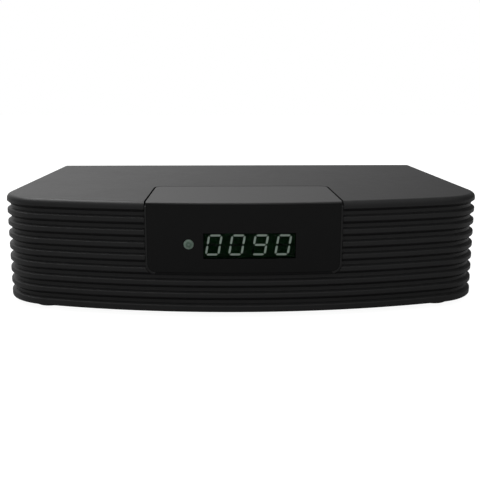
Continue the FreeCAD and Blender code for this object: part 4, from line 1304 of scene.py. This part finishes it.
# A row of strips lying on the face at the height z, on its upper side or its lower one
def stripSolids(name, z, side, size):
    low, high = nodeBox(name)
    half = size["width"] / 2
    bottom, top = sorted((z, z + side * size["thickness"]))
    return [prism(rectangle(x - half, x + half, low.y, high.y - size["inset"]), bottom, top)
            for x in spread(size["count"], size["pitch"], middleOf(name).x)]


def makeContactStrips():
    low, high = nodeBox("video_socket_tongue")
    made = stripSolids("video_socket_tongue", high.z, 1, strips["video"])
    made += stripSolids("video_socket_tongue", low.z, -1, strips["video"])
    low, high = nodeBox("data_socket_tongues")
    for z in (low.z, low.z + strips["data"]["stack"]):
        made += stripSolids("data_socket_tongues", z, -1, strips["data"])
    return finished(joined(made), "socketContacts", goldContact)


makeContactStrips()


# Power inlet's pin, with a rounded tip

def makePowerPin():
    low, high = nodeBox("power_socket_pin")
    radius = (high.x - low.x) / 2
    profile = [(0.0, low.y), (radius, low.y), (radius, high.y), (0.0, high.y)]
    profile = rounded(profile, [0, 0, radius * 0.7, 0], 6)
    middle = middleOf("power_socket_pin")
    return finished(lathe(profile, (middle.x, middle.z), "y", 32), "powerPin", platedZinc,
                    replaced=["power_socket_pin"])


makePowerPin()


# Marks for on and off, printed on the two faces of the switch's rocker

rocker = {
    "rise": 1.6,
    "tilt": 11.0,
    "lift": 0.02,
    "paint": 0.05,
    "size": 2.4,
    "line": 0.42,
    "middle": 2.9,           # of each face, from the pivot
}


def makeSwitchMarks():
    paint = plastic("markPaint", (0.62, 0.62, 0.6), 0.45, grain=0.000004, worn=0.0)
    pivot = Vector(next(j for j in frame["joints"] if j["name"] == "rocker_pivot")["pos_m"]) / mm
    seat = Matrix.Translation((pivot.x, pivot.y, middleOf("switch_rocker").z))
    tilt = math.radians(rocker["tilt"])
    half, line, thick = rocker["size"] / 2, rocker["line"], rocker["paint"]
    bar = prism(rectangle(-line / 2, line / 2, -half, half, 0.08, 2), 0.0, thick, "y")
    profile = [(half, 0.0), (half, thick), (half - line, thick), (half - line, 0.0)]
    ring = lathe(profile, (0.0, 0.0), "y", 40, closed=True)
    height = rocker["rise"] + rocker["middle"] * math.tan(tilt) + rocker["lift"]
    for mark, side, label in ((bar, -1, "onMark"), (ring, 1, "offMark")):
        place = Matrix.Translation((side * rocker["middle"], height, 0.0))
        whole = seat @ Matrix.Rotation(tilt, 4, "Z") @ place @ Matrix.Rotation(side * tilt, 4, "Z")
        bmesh.ops.transform(mark, matrix=whole, verts=mark.verts)
        finished(mark, label, paint, body="power_rocker")


makeSwitchMarks()
print("sockets made")


# Back and inside: frame pieces that keep their shape

finishes = {
    "panelPaint": (panelPaint, "panel_steel", 0.1, ["rear_panel"]),
    "tinnedSteel": (metal("tinnedSteel", (0.62, 0.62, 0.6), 0.34), "tinned_steel", 0.12,
                    ["tuner_frame", "tuner_lid", "crystal"]),
    "platedZinc": (platedZinc, "plated_zinc", 0.12, ["lnb_washers"]),
    "platedShell": (metal("platedShell", (0.68, 0.67, 0.64), 0.22), "plated_shell", 0.15,
                    ["video_socket_shell", "network_socket", "data_socket_shell"]),
    "goldContact": (goldContact, "gold_contact", 0.05, ["network_contacts"]),
    "sinkAluminium": (metal("sinkAluminium", (0.6, 0.6, 0.62), 0.36), "sink_aluminium", 0.15,
                      ["heat_sink"]),
    "screwSteel": (metal("screwSteel", (0.15, 0.15, 0.16), 0.32), "screw_steel", 0.06,
                   ["case_screws", "main_board_screws"]),
    "socketPlastic": (socketPlastic, "socket_plastic", 0.15,
                      ["optical_socket", "video_socket_tongue", "power_socket", "switch_housing",
                       "board_header"]),
    "insulatorPlastic": (insulatorPlastic, "insulator_plastic", 0.12, ["data_socket_tongues"]),
    "avPlastic": (plastic("avPlastic", (0.62, 0.44, 0.03), 0.42), "av_plastic", 0.15, ["av_socket"]),
    "shutterPlastic": (plastic("shutterPlastic", (0.02, 0.02, 0.022), 0.45), "shutter_plastic", 0.1,
                       ["optical_shutter"]),
    "rockerPlastic": (plastic("rockerPlastic", (0.013, 0.013, 0.014), 0.25, 0.5), "rocker_plastic", 0.25,
                      ["switch_rocker"]),
    "circuitBoard": (plastic("circuitBoard", (0.012, 0.095, 0.035), 0.3), "circuit_board", 0.08,
                     ["front_board", "main_board"]),
    "chipPlastic": (plastic("chipPlastic", (0.02, 0.02, 0.022), 0.5), "chip_plastic", 0.12,
                    ["main_processor", "memory_chips", "flash_chip"]),
    "coilFerrite": (plastic("coilFerrite", (0.06, 0.06, 0.065), 0.55), "coil_ferrite", 0.3,
                    ["power_coils"]),
    "capacitorSleeve": (plastic("capacitorSleeve", (0.03, 0.035, 0.06), 0.35), "capacitor_sleeve", 0.3,
                        ["capacitors"]),
    "padRubber": (plastic("padRubber", (0.2, 0.3, 0.45), 0.7), "pad_rubber", 0.05, ["thermal_pad"]),
    "ledResin": (plastic("ledResin", (0.75, 0.74, 0.62), 0.4), "led_white", 0.15, ["status_led"]),
    "eyeResin": (plastic("eyeResin", (0.02, 0.012, 0.018), 0.2), "eye_plastic", 0.15, ["ir_receiver"]),
    "emitterResin": (plastic("emitterResin", (0.5, 0.02, 0.015), 0.25), "red_emitter", 0.1,
                     ["optical_emitter"]),
}
for material, slotName, edgeWidth, nodeNames in finishes.values():
    dressed(nodeNames, material, edgeWidth)
print("back and inside dressed")
